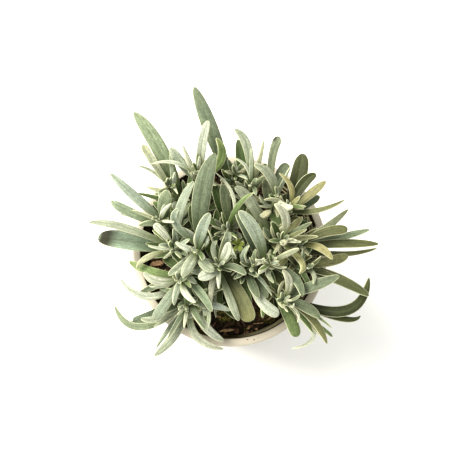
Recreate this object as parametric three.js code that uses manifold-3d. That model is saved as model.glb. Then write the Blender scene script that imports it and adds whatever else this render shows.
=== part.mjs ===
// A young Dutch lavender in a round 13 cm grower's pot: the pot, the compost that fills it, and its leafy shoots.
// Millimetres, +Z up. The origin is the centre of the pot's base, on the surface that it stands on.
import * as THREE from "three";
import { mergeVertices } from "three/addons/utils/BufferGeometryUtils.js";
import Module from "manifold-3d";

const wasm = await Module();
wasm.setup();

const POT = {
  height: 112,
  rimRadius: 65,
  lipWidth: 4.2,
  skirtHeight: 9,
  skirtRadius: 63.6,
  skirtStep: 2.4,
  baseRadius: 47,
  wall: 1.6,
  floor: 2.2,
  ledgeWidth: 2.6,
  ledgeDepth: 13,
  sides: 36,
  holes: 6,
  holeRadius: 4,
  holeCircle: 33,
};
const SOIL = {
  depthBelowRim: 15,
  gap: 0.4,
  bump: 1.5,
  rings: 5,
  sides: 24,
  chips: 40,
  chipSize: [9, 4, 2.6],
  chipsFrom: 6.5,
  socketDepth: 22,
};
const SOIL_TOP = POT.height - SOIL.depthBelowRim;
const STEM = { radius: 1.7, sides: 4, steps: 4, upright: 5, bendRise: 8 };
const LEAF = {
  thickness: 1.15,
  arch: 0.09,
  rootWidth: 0.2,
  widestAt: 0.62,
  foldUp: 0.13,
  wideFrom: 8,
  clearance: 0.45,
  sunkShare: 0.3,
};

// Where a blade's rings of points lie, from root to tip.
const STATIONS = { wide: [0, 0.26, 0.53, 0.79, 0.945], narrow: [0, 0.35, 0.7, 0.93], plain: [0, 0.52, 0.88] };

// Heads and leaf tips are given by where they are seen from the reference viewpoint: x and y in its 460 by 460 frame,
// and the height above the rim. The viewpoint looks down on the pot's rim from this far, this steeply.
const VIEW = { elevation: 76, distance: 600, focal: 901, middle: 230, aim: 12.6 };
const elevation = THREE.MathUtils.degToRad(VIEW.elevation);
const sinView = Math.sin(elevation);
const cosView = Math.cos(elevation);

// The point, in the part's frame, seen at (x, y) and lying this high above the rim.
function seenAt(x, y, rise) {
  const slope = (VIEW.middle - y) / VIEW.focal;
  const forward =
    (rise * cosView - VIEW.aim - slope * (VIEW.distance - rise * sinView)) /
    (slope * cosView - sinView);
  const range = VIEW.distance + forward * cosView - rise * sinView;
  return new THREE.Vector3(((x - VIEW.middle) / VIEW.focal) * range, forward, POT.height + rise);
}

// Millimetres for one unit of the view's frame at a point.
function viewScale(point) {
  const toward = -point.y * cosView + (point.z - POT.height) * sinView;
  return (VIEW.distance - toward) / VIEW.focal;
}

// Each shoot: its head (x, y, height above the rim), the foot where it leaves the compost (x and y in millimetres),
// how many small leaves its tuft has, and the leaves that show from above:
// tip x, tip y, tip height, width, sideways bow (to the right seen from the stem), height of the root above the rim,
// and for some, in place of the bow, x and y of the blade's middle.
const SHOOTS = [
  { head: [196, 172, 42], foot: [-9, 27], tuft: 4, leaves: [
    [208.5, 120.5, 58, 10, 2, 33, 201.8, 146], [216, 138, 56, 9, 3, 32, 221, 159],
    [199.5, 156, 52, 4, 0, 38], [197, 152.5, 46, 5, 0, 34], [183, 145, 52, 6, 1, 36, 188.7, 160.5],
    [170.5, 147, 42, 10.5, 2, 28, 182, 163.5], [151, 164, 46, 4.5, 7, 36]] },
  { head: [252, 184, 40], foot: [10, 25], tuft: 4, leaves: [
    [234, 129, 50, 9.5, 5, 30, 248, 149], [238, 139, 24, 11, 0, 8], [232.5, 157.5, 46, 3.8, 7, 34],
    [264, 139.5, 44, 5.5, 1, 26], [251, 148, 44, 4, 0, 32], [264, 176, 46, 6, 0, 30]] },
  { head: [277, 196, 44], foot: [23, 17], tuft: 3, leaves: [
    [280, 137, 47, 9.5, 2, 22, 271.5, 163], [254, 164.5, 54, 10, 8, 38],
    [288, 163.5, 34, 12, 0, 20, 277, 184], [291, 166, 40, 4, 0, 30], [264, 178, 38, 9, 0, 22]] },
  { head: [284, 241, 48], foot: [22, 4], tuft: 6, leaves: [
    [274, 204, 62, 9, 5, 40, 286, 219], [271, 222, 54, 7, 2, 36], [263, 228, 46, 7, 0, 28],
    [312, 222, 50, 5.5, 0, 36], [307, 229, 52, 5, 0, 42], [318.5, 236.5, 46, 6, 0, 34],
    [301.5, 242, 52, 3.5, 0, 44], [299, 273.5, 42, 7, -8, 38, 301.5, 261],
    [235, 187.5, 44, 12, 0, 24, 252, 203]] },
  { head: [271, 264, 50], foot: [13, -7], tuft: 5, leaves: [
    [238.5, 211, 60, 13.5, 5, 36], [236, 214, 46, 9.5, 2, 22], [258.5, 273, 52, 6.5, 0, 46],
    [255, 260, 54, 4, 0, 46], [274, 283, 50, 5, 3, 42], [302, 297, 42, 9, -4, 34, 292.5, 276],
    [299.5, 249, 52, 6, 0, 44, 288, 253.5]] },
  { head: [286, 304, 36], foot: [22, -21], tuft: 5, leaves: [
    [282.5, 270, 50, 8, 7, 30], [339.5, 275.5, 42, 11.5, 0, 24, 308.5, 287.5],
    [291.5, 348.5, 4, 5, -9, 14, 313, 329.5], [297, 337, 18, 12.5, -2, 14],
    [327, 344, 16, 8, -3, 24, 309, 315.5], [332.5, 328.5, 24, 4.5, -2, 26],
    [320, 318, 30, 10.5, -2, 26, 304, 306], [313, 333, 22, 7, -3, 20],
    [369, 277, 16, 11, 24, 6, 340, 311.5], [360.5, 315.5, 8, 4.5, 4, 10, 326, 317.5]] },
  { head: [169, 186, 36], foot: [-24, 21], tuft: 4, leaves: [
    [133.5, 112, 48, 16, 5, 18], [142.5, 144.5, 42, 8.5, 1, 28, 157, 168], [135, 165.5, 34, 3.8, 0, 28, 155, 173],
    [170, 153, 42, 4, 0, 28], [175, 172, 44, 4.5, 0, 30], [146, 187, 30, 5, 0, 24],
    [136, 193, 14, 5, 0, 12]] },
  { head: [158, 220, 36], foot: [-29, 10], tuft: 4, leaves: [
    [110, 173, 36, 10.5, 0, 22, 138, 199], [111, 200.5, 26, 10.5, 4, 14, 132, 213],
    [132, 210, 34, 4, 0, 26], [120, 214, 20, 5, 1, 12], [168, 190, 46, 14, -2, 28],
    [171.5, 203.5, 52, 5, 0, 32, 162.5, 213]] },
  { head: [197, 251, 48], foot: [-11, 4], tuft: 5, leaves: [
    [215, 153, 62, 19, -3, 34, 201, 199], [210, 213, 62, 11.5, 2, 46, 201.5, 231],
    [182, 277, 50, 11, 0, 46], [214.5, 270.5, 48, 10.5, 0, 44, 204, 263.5],
    [179.5, 208.5, 50, 7.5, -2, 34, 176, 224], [190, 205, 34, 9, -3, 14], [168, 275, 44, 9.5, -2, 38],
    [175.5, 242, 50, 7, 0, 44, 187, 247.5]] },
  { head: [180, 281, 40], foot: [-21, -11], tuft: 5, leaves: [
    [212, 312, 36, 8.5, -3, 32], [209, 305, 24, 10, -2, 18], [196, 302.5, 46, 7.5, 4, 36],
    [154, 320, 34, 11.5, 0, 30], [119.5, 278, 24, 7.5, 2, 16, 152, 296.5], [137, 294.5, 18, 7.5, 0, 16],
    [143.5, 272, 34, 9, 2, 30, 160.5, 281.5], [129, 261, 24, 8.5, 0, 28, 151, 271]] },
  { head: [184, 309, 32], foot: [-17, -26], tuft: 4, leaves: [
    [224, 349, 5, 5.5, 8, 20, 195, 334.5], [224, 341, 9, 9.5, 6, 16, 204, 324.5],
    [140.5, 318.5, 24, 8, 0, 20, 164, 317], [114.5, 305, 8, 7.5, -14, 10, 143.6, 326.8],
    [131, 321, 4, 8, 0, 4], [154, 356, 22, 10, 2, 22, 175.5, 333], [155.5, 349, 14, 6, 1, 14],
    [167, 340, 30, 5, 0, 26], [184, 328, 34, 4, 0, 26]] },
  { head: [173, 250, 42], foot: [-31, 1], tuft: 4, leaves: [
    [98, 237, 20, 20, 3, 16, 132, 241.5], [88.5, 222.5, 34, 8.5, 9, 30, 127, 228],
    [154, 224, 48, 8, 1, 34], [167, 239, 46, 5, 0, 36],
    [137, 269, 32, 6.5, 10, 34, 147.5, 257], [194, 181, 46, 10, 0, 26, 179, 213]] },
  { head: [254, 265, 38], foot: [3, -21], tuft: 3, leaves: [
    [259, 298, 32, 9, 0, 26, 252, 284], [267, 298, 26, 11, -3, 16], [272, 296, 32, 4, -2, 28],
    [279.5, 314, 22, 11.5, -3, 22, 260.5, 300], [249.5, 245, 46, 6.5, 0, 32, 243, 257], [240, 262, 42, 4, 0, 34]] },
  { head: [308, 267, 34], foot: [31, -9], tuft: 4, leaves: [
    [369, 296, 22, 12, -6, 16, 334, 277.5], [313, 284, 40, 4.5, -4, 32], [334, 276, 24, 7, 0, 18],
    [321, 256, 40, 4, 3, 30], [332, 262, 16, 10, 0, 12], [348, 255, 22, 11, 0, 20, 328, 261.5]] },
  { head: [237, 173, 36], foot: [1, 36], tuft: 3, leaves: [
    [194, 86.5, 60, 16, 2, 12, 213, 134.5], [234, 160, 44, 4.5, 0, 32], [224.5, 171, 40, 4.5, 0, 34],
    [249, 166, 42, 4.5, 0, 34]] },
  { head: [219, 266, 42], foot: [-9, -13], tuft: 4, leaves: [
    [229, 242, 54, 9.5, 2, 36], [224.5, 236, 50, 4.5, 0, 36], [198, 278, 46, 12, -2, 40],
    [219, 289, 44, 5, 0, 38], [210.5, 307.5, 32, 6.5, 3, 30], [216, 318, 14, 4, 2, 16],
    [250, 322, 22, 16, -4, 20], [239, 321, 24, 8, -4, 28, 230.5, 300],
    [246, 275, 46, 8, 0, 38, 234, 267], [228, 231.5, 46, 8, 0, 36, 225.5, 247]] },
  { head: [227, 232, 40], foot: [2, 13], tuft: 4, leaves: [
    [222, 184, 44, 10, 4, 26, 226, 203], [215.5, 172.5, 50, 3.8, 0, 34, 234, 200], [213, 180, 26, 10, -2, 10],
    [221.5, 212, 46, 4, 0, 32], [254, 192.5, 60, 6, -6, 34, 237, 207], [236.5, 258.5, 42, 5.5, 0, 36, 230.5, 249]] },
  { head: [290, 205, 40], foot: [34, 10], tuft: 4, leaves: [
    [302.5, 153.5, 36, 17, 3, 24, 298, 178], [316.5, 175, 40, 11, 2, 32, 303, 184.5],
    [326, 181, 38, 9, 1, 30, 310, 194], [300, 196, 46, 5, 0, 36], [306, 206.5, 42, 4.5, 0, 36],
    [319, 195.5, 26, 8, 0, 22, 309.5, 203], [345, 199.5, 40, 6.5, 6, 32, 317, 210],
    [279, 173, 44, 6, 9, 30], [264, 200, 50, 4.5, 3, 37], [276, 207, 50, 8, 0, 38]] },
  { head: [301, 245, 36], foot: [40, 1], tuft: 3, leaves: [
    [348.5, 209, 34, 8, -2, 18, 322, 230.5], [348, 229.5, 38, 10.5, 0, 28, 322, 233],
    [370, 229.5, 22, 8.5, -2, 8, 332, 239.5], [332.5, 259.5, 40, 8, -6, 34, 319, 247],
    [379, 244, 26, 9.5, 0, 20], [377.5, 248, 16, 6, 2, 12, 338, 254]] },
  { head: [196, 303, 30], foot: [-6, -30], tuft: 4, leaves: [
    [188, 318, 18, 9, 0, 14], [205, 316, 26, 6, 0, 20]] },
];

// Every placed leaf tries these changes of height in turn, until it is clear of what is there already.
const HEIGHT_TRIES = [0, 2.5, -2.5, 5, -5, 7.5, -7.5, 10, -10, 13, -13, 16, -16, 20];
const TRIES = 14;
const TUFT = { length: [7, 14], width: [2, 3], steepness: [42, 76], drop: 5, roll: 0.7 };
const LOWER = {
  length: [20, 32], width: [4.5, 7.5], steepness: [2, 34], between: [0.08, 0.66], count: 4, roll: 0.7, reach: 56,
};
const OPPOSITE_TURN = 90;

// A seeded draw from 0 to 1, the same for the same seed and place in the row.
function draw(seed, place) {
  let value = (seed * 7919 + place * 104729 + 12345) % 2147483647;
  for (let i = 0; i < 3; i++) value = (value * 16807) % 2147483647;
  return value / 2147483647;
}
const between = ([low, high], share) => low + (high - low) * share;

function solidOf(geometry) {
  geometry.deleteAttribute("normal");
  geometry.deleteAttribute("uv");
  const merged = mergeVertices(geometry, 1e-4);
  return new wasm.Manifold(
    new wasm.Mesh({
      numProp: 3,
      vertProperties: new Float32Array(merged.attributes.position.array),
      triVerts: new Uint32Array(merged.index.array),
    }),
  );
}

function geometryOf(solid) {
  const mesh = solid.getMesh();
  return new THREE.BufferGeometry()
    .setAttribute("position", new THREE.BufferAttribute(mesh.vertProperties, 3))
    .setIndex(new THREE.BufferAttribute(mesh.triVerts, 1));
}

// Half the blade's width, as a share of its full half width, from the root (0) to the rounded tip (1).
function outline(along) {
  if (along < LEAF.widestAt) {
    const share = along / LEAF.widestAt;
    return LEAF.rootWidth + (1 - LEAF.rootWidth) * share * (2 - share);
  }
  const past = (along - LEAF.widestAt) / (1 - LEAF.widestAt);
  return Math.sqrt(Math.max(0, 1 - past ** 2.4));
}

// A leaf blade along an arched line from root to tip: rings of four points, an edge, the midrib's top, the other
// edge and the midrib's underside, with both edges folded up, closed by a flat root and a pointed tip.
function blade(leaf, extra = 0, start = 0) {
  const { root, tip, arch, bow, width, roll } = leaf;
  const chord = new THREE.Vector3().subVectors(tip, root);
  const right = new THREE.Vector3(chord.y, -chord.x, 0).normalize();
  const halfway = new THREE.Vector3().addVectors(root, tip).multiplyScalar(0.5);
  const bend = halfway.clone().addScaledVector(right, 2 * bow);
  bend.z += 2 * arch;
  if (leaf.middle) bend.copy(leaf.middle).multiplyScalar(2).sub(halfway);
  const line = new THREE.QuadraticBezierCurve3(root, bend, tip);
  let stations = width > LEAF.wideFrom ? STATIONS.wide : STATIONS.narrow;
  if (leaf.plain) stations = STATIONS.plain;
  const points = [];
  for (const station of stations) {
    const along = Math.max(station, start);
    if (station < start && stations.some((s) => s > station && s <= start)) continue;
    const at = line.getPoint(along);
    const tangent = line.getTangent(along);
    const side = new THREE.Vector3(tangent.y, -tangent.x, 0).normalize();
    const up = new THREE.Vector3().crossVectors(side, tangent);
    side.applyAxisAngle(tangent, roll);
    up.applyAxisAngle(tangent, roll);
    const half = (width / 2) * outline(along) + extra;
    const thick = LEAF.thickness / 2 + extra;
    const lift = LEAF.foldUp * width * outline(along);
    const offset = (across, above) =>
      at.clone().addScaledVector(side, across).addScaledVector(up, above);
    points.push(offset(-half, lift), offset(0, thick), offset(half, lift), offset(0, -thick));
  }
  const end = tip.clone().addScaledVector(line.getTangent(1), extra);
  points.push(end);
  const triangles = [];
  const rings = (points.length - 1) / 4;
  for (let ring = 0; ring < rings; ring++)
    for (let corner = 0; corner < 4; corner++) {
      const next = (corner + 1) % 4;
      const [a, b] = [4 * ring + corner, 4 * ring + next];
      if (ring === rings - 1) {
        triangles.push(a, b, points.length - 1);
        continue;
      }
      const [c, d] = [a + 4, b + 4];
      // The diagonals mirror each other, alike on the upper and the lower face.
      if (corner === 0 || corner === 2) triangles.push(a, b, d, a, d, c);
      else triangles.push(a, b, c, b, d, c);
    }
  triangles.push(0, 3, 1, 1, 3, 2);
  const geometry = new THREE.BufferGeometry().setFromPoints(points).setIndex(triangles);
  return solidOf(geometry);
}

function boxOf(solid) {
  const { min, max } = solid.boundingBox();
  return new THREE.Box3(new THREE.Vector3(...min), new THREE.Vector3(...max));
}

function cross(solid, box, other) {
  if (!box.intersectsBox(other.box)) return false;
  const common = solid.intersect(other.solid);
  const empty = common.isEmpty();
  common.delete();
  return !empty;
}

const obstacles = [];
function addObstacle(solid, shoot, stem = false) {
  obstacles.push({ solid, box: boxOf(solid), shoot, stem });
}

// Whether a leaf keeps its clearance to everything of other shoots, and, past its sunk root, to its own shoot's leaves.
function isClear(leaf, shoot) {
  const whole = blade(leaf, LEAF.clearance);
  const box = boxOf(whole);
  const foreign = obstacles.filter((o) => o.shoot !== shoot);
  const clear = !foreign.some((o) => cross(whole, box, o));
  whole.delete();
  if (!clear) return false;
  const outer = blade(leaf, 0.1, leaf.tiny ? 0.6 : LEAF.sunkShare);
  const outerBox = boxOf(outer);
  const own = obstacles.filter((o) => o.shoot === shoot && !o.stem);
  const free = !own.some((o) => cross(outer, outerBox, o));
  outer.delete();
  return free;
}

// The radius of the pot's inner wall below its ledge.
const LEDGE_FOOT = POT.height - POT.ledgeDepth - 1.5;
function innerWall(z) {
  return THREE.MathUtils.mapLinear(
    z, POT.floor, LEDGE_FOOT, POT.baseRadius - POT.wall, POT.skirtRadius - POT.skirtStep - POT.ledgeWidth - 1,
  );
}

function potSolid() {
  const { height, rimRadius, lipWidth, skirtHeight, skirtRadius, skirtStep, baseRadius, floor } = POT;
  const inner = rimRadius - lipWidth;
  const profile = [
    [0, 0], [baseRadius - 1, 0], [baseRadius, 1],
    [skirtRadius - skirtStep, height - skirtHeight], [skirtRadius, height - skirtHeight],
    [rimRadius, height - 1.2], [rimRadius - 0.6, height - 0.2], [rimRadius - lipWidth / 2, height],
    [inner, height - 0.8], [inner - 0.6, height - 5], [inner - 1.2, LEDGE_FOOT + 1.5],
    [innerWall(LEDGE_FOOT), LEDGE_FOOT], [innerWall(floor), floor], [0, floor],
  ].map(([radius, z]) => new THREE.Vector2(radius, z));
  let body = solidOf(new THREE.LatheGeometry(profile, POT.sides).rotateX(Math.PI / 2));
  for (let i = 0; i < POT.holes; i++) {
    const turn = (2 * Math.PI * (i + 0.5)) / POT.holes;
    const drill = new THREE.CylinderGeometry(POT.holeRadius, POT.holeRadius, 4 * floor, 10)
      .rotateX(Math.PI / 2)
      .translate(POT.holeCircle * Math.cos(turn), POT.holeCircle * Math.sin(turn), 0);
    body = body.subtract(solidOf(drill));
  }
  return body;
}

// The compost's surface: low mounds and hollows, by a formula.
function soilHeight(x, y) {
  const coarse = Math.sin(x * 0.16 + 0.6) * Math.cos(y * 0.19 - 0.4);
  const fine = Math.sin(x * 0.53 + y * 0.31) * Math.sin(y * 0.47 - x * 0.12 + 1.3);
  return SOIL_TOP + SOIL.bump * (0.65 * coarse + 0.45 * fine);
}

// The compost: a flat underside, a conical side and the uneven surface, with bark chips half sunk in it and a plain
// hole for each stem.
function soilSolid(feet) {
  const bottom = POT.floor + SOIL.gap;
  const underside = innerWall(bottom) - SOIL.gap;
  const surface = innerWall(SOIL_TOP) - 2 * SOIL.gap;
  const points = [new THREE.Vector3(0, 0, bottom), new THREE.Vector3(0, 0, soilHeight(0, 0))];
  const ringRadius = (ring) => (surface * ring) / SOIL.rings;
  const turns = [...Array(SOIL.sides).keys()].map((i) => (2 * Math.PI * i) / SOIL.sides);
  for (const turn of turns)
    points.push(new THREE.Vector3(underside * Math.cos(turn), underside * Math.sin(turn), bottom));
  for (let ring = SOIL.rings; ring > 0; ring--)
    for (const turn of turns) {
      const [x, y] = [ringRadius(ring) * Math.cos(turn), ringRadius(ring) * Math.sin(turn)];
      points.push(new THREE.Vector3(x, y, soilHeight(x, y)));
    }
  const triangles = [];
  const at = (ring, side) => 2 + ring * SOIL.sides + (side % SOIL.sides);
  for (let side = 0; side < SOIL.sides; side++) {
    triangles.push(0, at(0, side + 1), at(0, side));
    for (let ring = 0; ring < SOIL.rings; ring++) {
      const [a, b, c, d] = [at(ring, side), at(ring, side + 1), at(ring + 1, side), at(ring + 1, side + 1)];
      triangles.push(a, b, d, a, d, c);
    }
    triangles.push(at(SOIL.rings, side), at(SOIL.rings, side + 1), 1);
  }
  let body = solidOf(new THREE.BufferGeometry().setFromPoints(points).setIndex(triangles));
  const reach = surface - SOIL.chipSize[0] / 2 - 1;
  for (let i = 0; i < SOIL.chips; i++) {
    const radius = reach * Math.sqrt(draw(5, i));
    const turn = 2 * Math.PI * draw(6, i);
    const size = 0.6 + 0.5 * draw(7, i);
    const [x, y] = [radius * Math.cos(turn), radius * Math.sin(turn)];
    const chip = new THREE.BoxGeometry(...SOIL.chipSize.map((length) => length * size))
      .rotateX(0.5 * (draw(8, i) - 0.5))
      .rotateY(0.6 * (draw(9, i) - 0.5))
      .rotateZ(2 * Math.PI * draw(10, i))
      .translate(x, y, soilHeight(x, y) + 0.4);
    if (feet.every((foot) => foot.distanceTo(new THREE.Vector2(x, y)) > SOIL.chipsFrom))
      body = body.add(solidOf(chip));
  }
  for (const foot of feet) {
    const hole = new THREE.CylinderGeometry(
      STEM.radius + SOIL.gap, STEM.radius + SOIL.gap, SOIL.socketDepth + 12, 6,
    )
      .rotateX(Math.PI / 2)
      .translate(foot.x, foot.y, SOIL_TOP - SOIL.socketDepth / 2 + 6);
    body = body.subtract(solidOf(hole));
  }
  return body;
}

// A stem's line above its hole: it starts upright and leans out to its head.
function stemLine([x, y], head) {
  const foot = new THREE.Vector3(x, y, SOIL_TOP + STEM.upright);
  const bend = foot.clone().lerp(head, 0.25);
  bend.z += STEM.bendRise;
  return new THREE.QuadraticBezierCurve3(foot, bend, head);
}

// A straight length in the hole, and a tube along the line from just under its start.
function stemSolid(line) {
  const corners = [...Array(STEM.sides).keys()].map((i) => {
    const turn = (2 * Math.PI * i) / STEM.sides;
    return new THREE.Vector2(STEM.radius * Math.cos(turn), STEM.radius * Math.sin(turn));
  });
  const options = { steps: STEM.steps, extrudePath: line, bevelEnabled: false };
  const leaning = solidOf(new THREE.ExtrudeGeometry(new THREE.Shape(corners), options));
  const length = SOIL.socketDepth + STEM.upright - SOIL.gap + 0.5;
  const straight = new THREE.CylinderGeometry(STEM.radius, STEM.radius, length, STEM.sides)
    .rotateX(Math.PI / 2)
    .translate(line.v0.x, line.v0.y, line.v0.z + 0.5 - length / 2);
  return leaning.add(solidOf(straight));
}

// The point of a stem's line at a height, found by halving.
function stemAt(line, z) {
  let [low, high] = [0, 1];
  for (let i = 0; i < 24; i++) {
    const half = (low + high) / 2;
    if (line.getPoint(half).z < z) low = half;
    else high = half;
  }
  return line.getPoint(low);
}

// A leaf read from the view, its height changed by the given number of tries.
function seenLeaf(shoot, [x, y, rise, width, bow, rootRise, middleX, middleY], attempt) {
  const change = HEIGHT_TRIES[attempt];
  const tip = seenAt(x, y, rise + change);
  const highest = shoot.head.z - STEM.radius;
  const root = stemAt(shoot.line, Math.min(highest, POT.height + rootRise + 0.5 * change));
  const arch = LEAF.arch * root.distanceTo(tip);
  const scale = viewScale(tip);
  const leaf = { root, tip, width: width * scale, bow: bow * scale, arch, roll: 0 };
  if (middleX) leaf.middle = seenAt(middleX, middleY, (root.z + tip.z) / 2 + arch - POT.height);
  return leaf;
}

// A leaf placed by rule: direction, steepness and length are drawn anew for each attempt.
function ruledLeaf(shoot, kind, place, attempt) {
  const seed = 101 + 53 * shoot.number + (kind === TUFT ? 17 : 0);
  const pick = (n) => draw(seed, 40 * place + 8 * attempt + n);
  const turn = THREE.MathUtils.degToRad(OPPOSITE_TURN * place + 37 * shoot.number + 80 * (pick(0) - 0.5));
  const steep = THREE.MathUtils.degToRad(between(kind.steepness, pick(1)));
  const length = between(kind.length, pick(2)) * (1 - 0.03 * attempt);
  const width = between(kind.width, pick(3));
  const base = SOIL_TOP + STEM.upright + 2;
  const height =
    kind === TUFT
      ? shoot.head.z - 0.8 - kind.drop * pick(4)
      : base + (shoot.head.z - base) * between(kind.between, (place + pick(4)) / kind.count);
  const root = stemAt(shoot.line, height);
  const level = length * Math.cos(steep);
  const tip = new THREE.Vector3(
    root.x + level * Math.cos(turn),
    root.y + level * Math.sin(turn),
    root.z + length * Math.sin(steep),
  );
  const bow = 0.16 * length * (pick(5) - 0.5);
  const arch = LEAF.arch * length;
  const roll = kind.roll * (pick(6) - 0.5);
  return { root, tip, width, bow, arch, roll, plain: true, tiny: kind === TUFT, reach: kind.reach };
}

// Fuses in the first of a leaf's attempts that is clear, or leaves it out where none is.
function place(shoot, make) {
  for (let attempt = 0; attempt < TRIES; attempt++) {
    const leaf = make(attempt);
    if (Math.hypot(leaf.tip.x, leaf.tip.y) > leaf.reach || !isClear(leaf, shoot)) continue;
    const solid = blade(leaf);
    addObstacle(solid, shoot);
    shoot.leaves.push(solid);
    return;
  }
}

const pot = potSolid();
addObstacle(pot, null);
const shoots = SHOOTS.map((row, number) => {
  const head = seenAt(...row.head);
  const line = stemLine(row.foot, head);
  return { ...row, number, head, line, rows: row.leaves, leaves: [] };
});
const soil = soilSolid(shoots.map((shoot) => new THREE.Vector2(...shoot.foot)));
addObstacle(soil, null);
for (const shoot of shoots) {
  shoot.stem = stemSolid(shoot.line);
  addObstacle(shoot.stem, shoot, true);
}
for (const shoot of shoots)
  for (const row of shoot.rows)
    place(shoot, (attempt) => seenLeaf(shoot, row, attempt));
for (const shoot of shoots)
  for (let i = 0; i < shoot.tuft; i++)
    place(shoot, (attempt) => ruledLeaf(shoot, TUFT, i, attempt));
for (const shoot of shoots)
  for (let i = 0; i < LOWER.count; i++)
    place(shoot, (attempt) => ruledLeaf(shoot, LOWER, i, attempt));

const plant = new THREE.Group();
function addPiece(name, solid, color, roughness) {
  const material = new THREE.MeshStandardMaterial({ color, roughness, metalness: 0 });
  const mesh = new THREE.Mesh(geometryOf(solid), material);
  mesh.name = name;
  plant.add(mesh);
}
addPiece("pot", pot, 0xd9cdb8, 0.6);
addPiece("soil", soil, 0x2a1f15, 0.95);
for (const shoot of shoots) {
  const name = "shoot_" + String(shoot.number + 1).padStart(2, "0");
  const fused = shoot.leaves.reduce((body, leaf) => body.add(leaf), shoot.stem);
  addPiece(name, fused, 0xa3ac8d, 0.85);
}

export default plant;
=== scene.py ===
# Young Dutch lavender in a 13 cm grower's pot: felted leaves, square stems, moulded pot and coarse compost.
import math

import bmesh
import bpy
import numpy as np
from mathutils import Matrix, Vector, kdtree, noise
from mathutils.bvhtree import BVHTree


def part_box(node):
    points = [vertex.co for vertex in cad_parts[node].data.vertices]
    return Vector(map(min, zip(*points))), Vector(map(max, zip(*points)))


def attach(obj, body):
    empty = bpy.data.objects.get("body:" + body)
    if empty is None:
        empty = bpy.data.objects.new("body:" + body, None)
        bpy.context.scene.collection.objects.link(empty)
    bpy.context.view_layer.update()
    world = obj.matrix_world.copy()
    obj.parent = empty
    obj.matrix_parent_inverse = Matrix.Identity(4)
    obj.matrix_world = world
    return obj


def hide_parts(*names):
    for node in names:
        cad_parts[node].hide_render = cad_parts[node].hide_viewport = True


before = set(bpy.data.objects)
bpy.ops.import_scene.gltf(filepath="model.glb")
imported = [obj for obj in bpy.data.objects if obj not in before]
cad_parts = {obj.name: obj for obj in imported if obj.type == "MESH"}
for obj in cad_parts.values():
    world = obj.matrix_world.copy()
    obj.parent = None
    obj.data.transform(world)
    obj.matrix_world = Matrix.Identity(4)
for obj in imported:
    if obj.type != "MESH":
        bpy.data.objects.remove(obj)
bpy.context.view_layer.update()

# Meshes are worked out in millimetres and made in metres.
mm = 0.001
fullTurn = 2 * math.pi
rimHeight = round(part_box("pot")[1].z / mm, 3)
rimRadius = round(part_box("pot")[1].x / mm, 3)

# The photograph's viewpoint. It looks down on the rim this steeply, from this many millimetres away, and aims
# this far above the rim's centre; focal and middle are in units of the photograph's own frame.
view = {"elevation": 76, "distance": 600, "focal": 901, "middle": 230, "aim": 12.6, "sensor": 36}
sinView = math.sin(math.radians(view["elevation"]))
cosView = math.cos(math.radians(view["elevation"]))


# small helpers


def linear(hexValue):
    channels = [int(hexValue[i:i + 2], 16) / 255 for i in (1, 3, 5)]
    return [c / 12.92 if c <= 0.04045 else ((c + 0.055) / 1.055) ** 2.4 for c in channels] + [1.0]


# a share from 0 to 1 that these two whole numbers decide, by the rule that the part follows too
def draw(seed, place):
    modulus, multiplier = 2147483647, 16807
    value = (seed * 7919 + place * 104729 + 12345) % modulus
    for _ in range(3):
        value = value * multiplier % modulus
    return value / modulus


def between(limits, share):
    return limits[0] + (limits[1] - limits[0]) * share


def unit(vectors):
    return vectors / np.linalg.norm(vectors, axis=-1, keepdims=True)


# the point seen at (x, y) in the photograph's frame and lying this high above the rim
def seenAt(x, y, rise):
    slope = (view["middle"] - y) / view["focal"]
    away = view["distance"] - rise * sinView
    forward = (rise * cosView - view["aim"] - slope * away) / (slope * cosView - sinView)
    reach = view["distance"] + forward * cosView - rise * sinView
    return np.array([(x - view["middle"]) / view["focal"] * reach, forward, rimHeight + rise])


# millimetres to one unit of the photograph's frame, at this point
def viewScale(point):
    toward = -point[1] * cosView + (point[2] - rimHeight) * sinView
    return (view["distance"] - toward) / view["focal"]


# set a node's inputs to values, or link them to sockets or to the first output of other nodes
def setInputs(tree, node, inputs):
    for key, value in inputs.items():
        if isinstance(value, bpy.types.Node):
            value = next(socket for socket in value.outputs if socket.enabled)
        if isinstance(value, bpy.types.NodeSocket):
            tree.links.new(value, node.inputs[key])
        else:
            node.inputs[key].default_value = value


def addNode(tree, kind, inputs=None, **settings):
    node = tree.nodes.new(kind)
    for name, value in settings.items():
        setattr(node, name, value)
    setInputs(tree, node, inputs or {})
    return node


def startMaterial(name, values):
    material = bpy.data.materials.new(name)
    material.use_nodes = True
    shader = material.node_tree.nodes["Principled BSDF"]
    setInputs(material.node_tree, shader, values)
    return material, material.node_tree, shader


# a texture's scale for features of this many millimetres
def scaleFor(size):
    return 1 / (size * mm)


def addObject(name, data):
    made = bpy.data.objects.new(name, data)
    bpy.context.scene.collection.objects.link(made)
    return made


def meshObject(name, points, faces, attributes=None, smooth=True):
    mesh = bpy.data.meshes.new(name)
    mesh.from_pydata([tuple(p) for p in np.asarray(points) * mm], [], faces)
    for key, values in (attributes or {}).items():
        values = np.asarray(values, dtype=np.float32)
        colour = values.ndim == 2
        layer = mesh.attributes.new(key, "FLOAT_COLOR" if colour else "FLOAT", "POINT")
        layer.data.foreach_set("color" if colour else "value", values.ravel())
    mesh.polygons.foreach_set("use_smooth", [smooth] * len(mesh.polygons))
    mesh.update()
    return addObject(name, mesh)


def objectOf(name, shape):
    mesh = bpy.data.meshes.new(name)
    shape.to_mesh(mesh)
    shape.free()
    return addObject(name, mesh)


# the object's mesh once its modifiers have run
def bakedMesh(piece):
    bpy.context.view_layer.update()
    return bpy.data.meshes.new_from_object(piece.evaluated_get(bpy.context.evaluated_depsgraph_get()))


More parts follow.
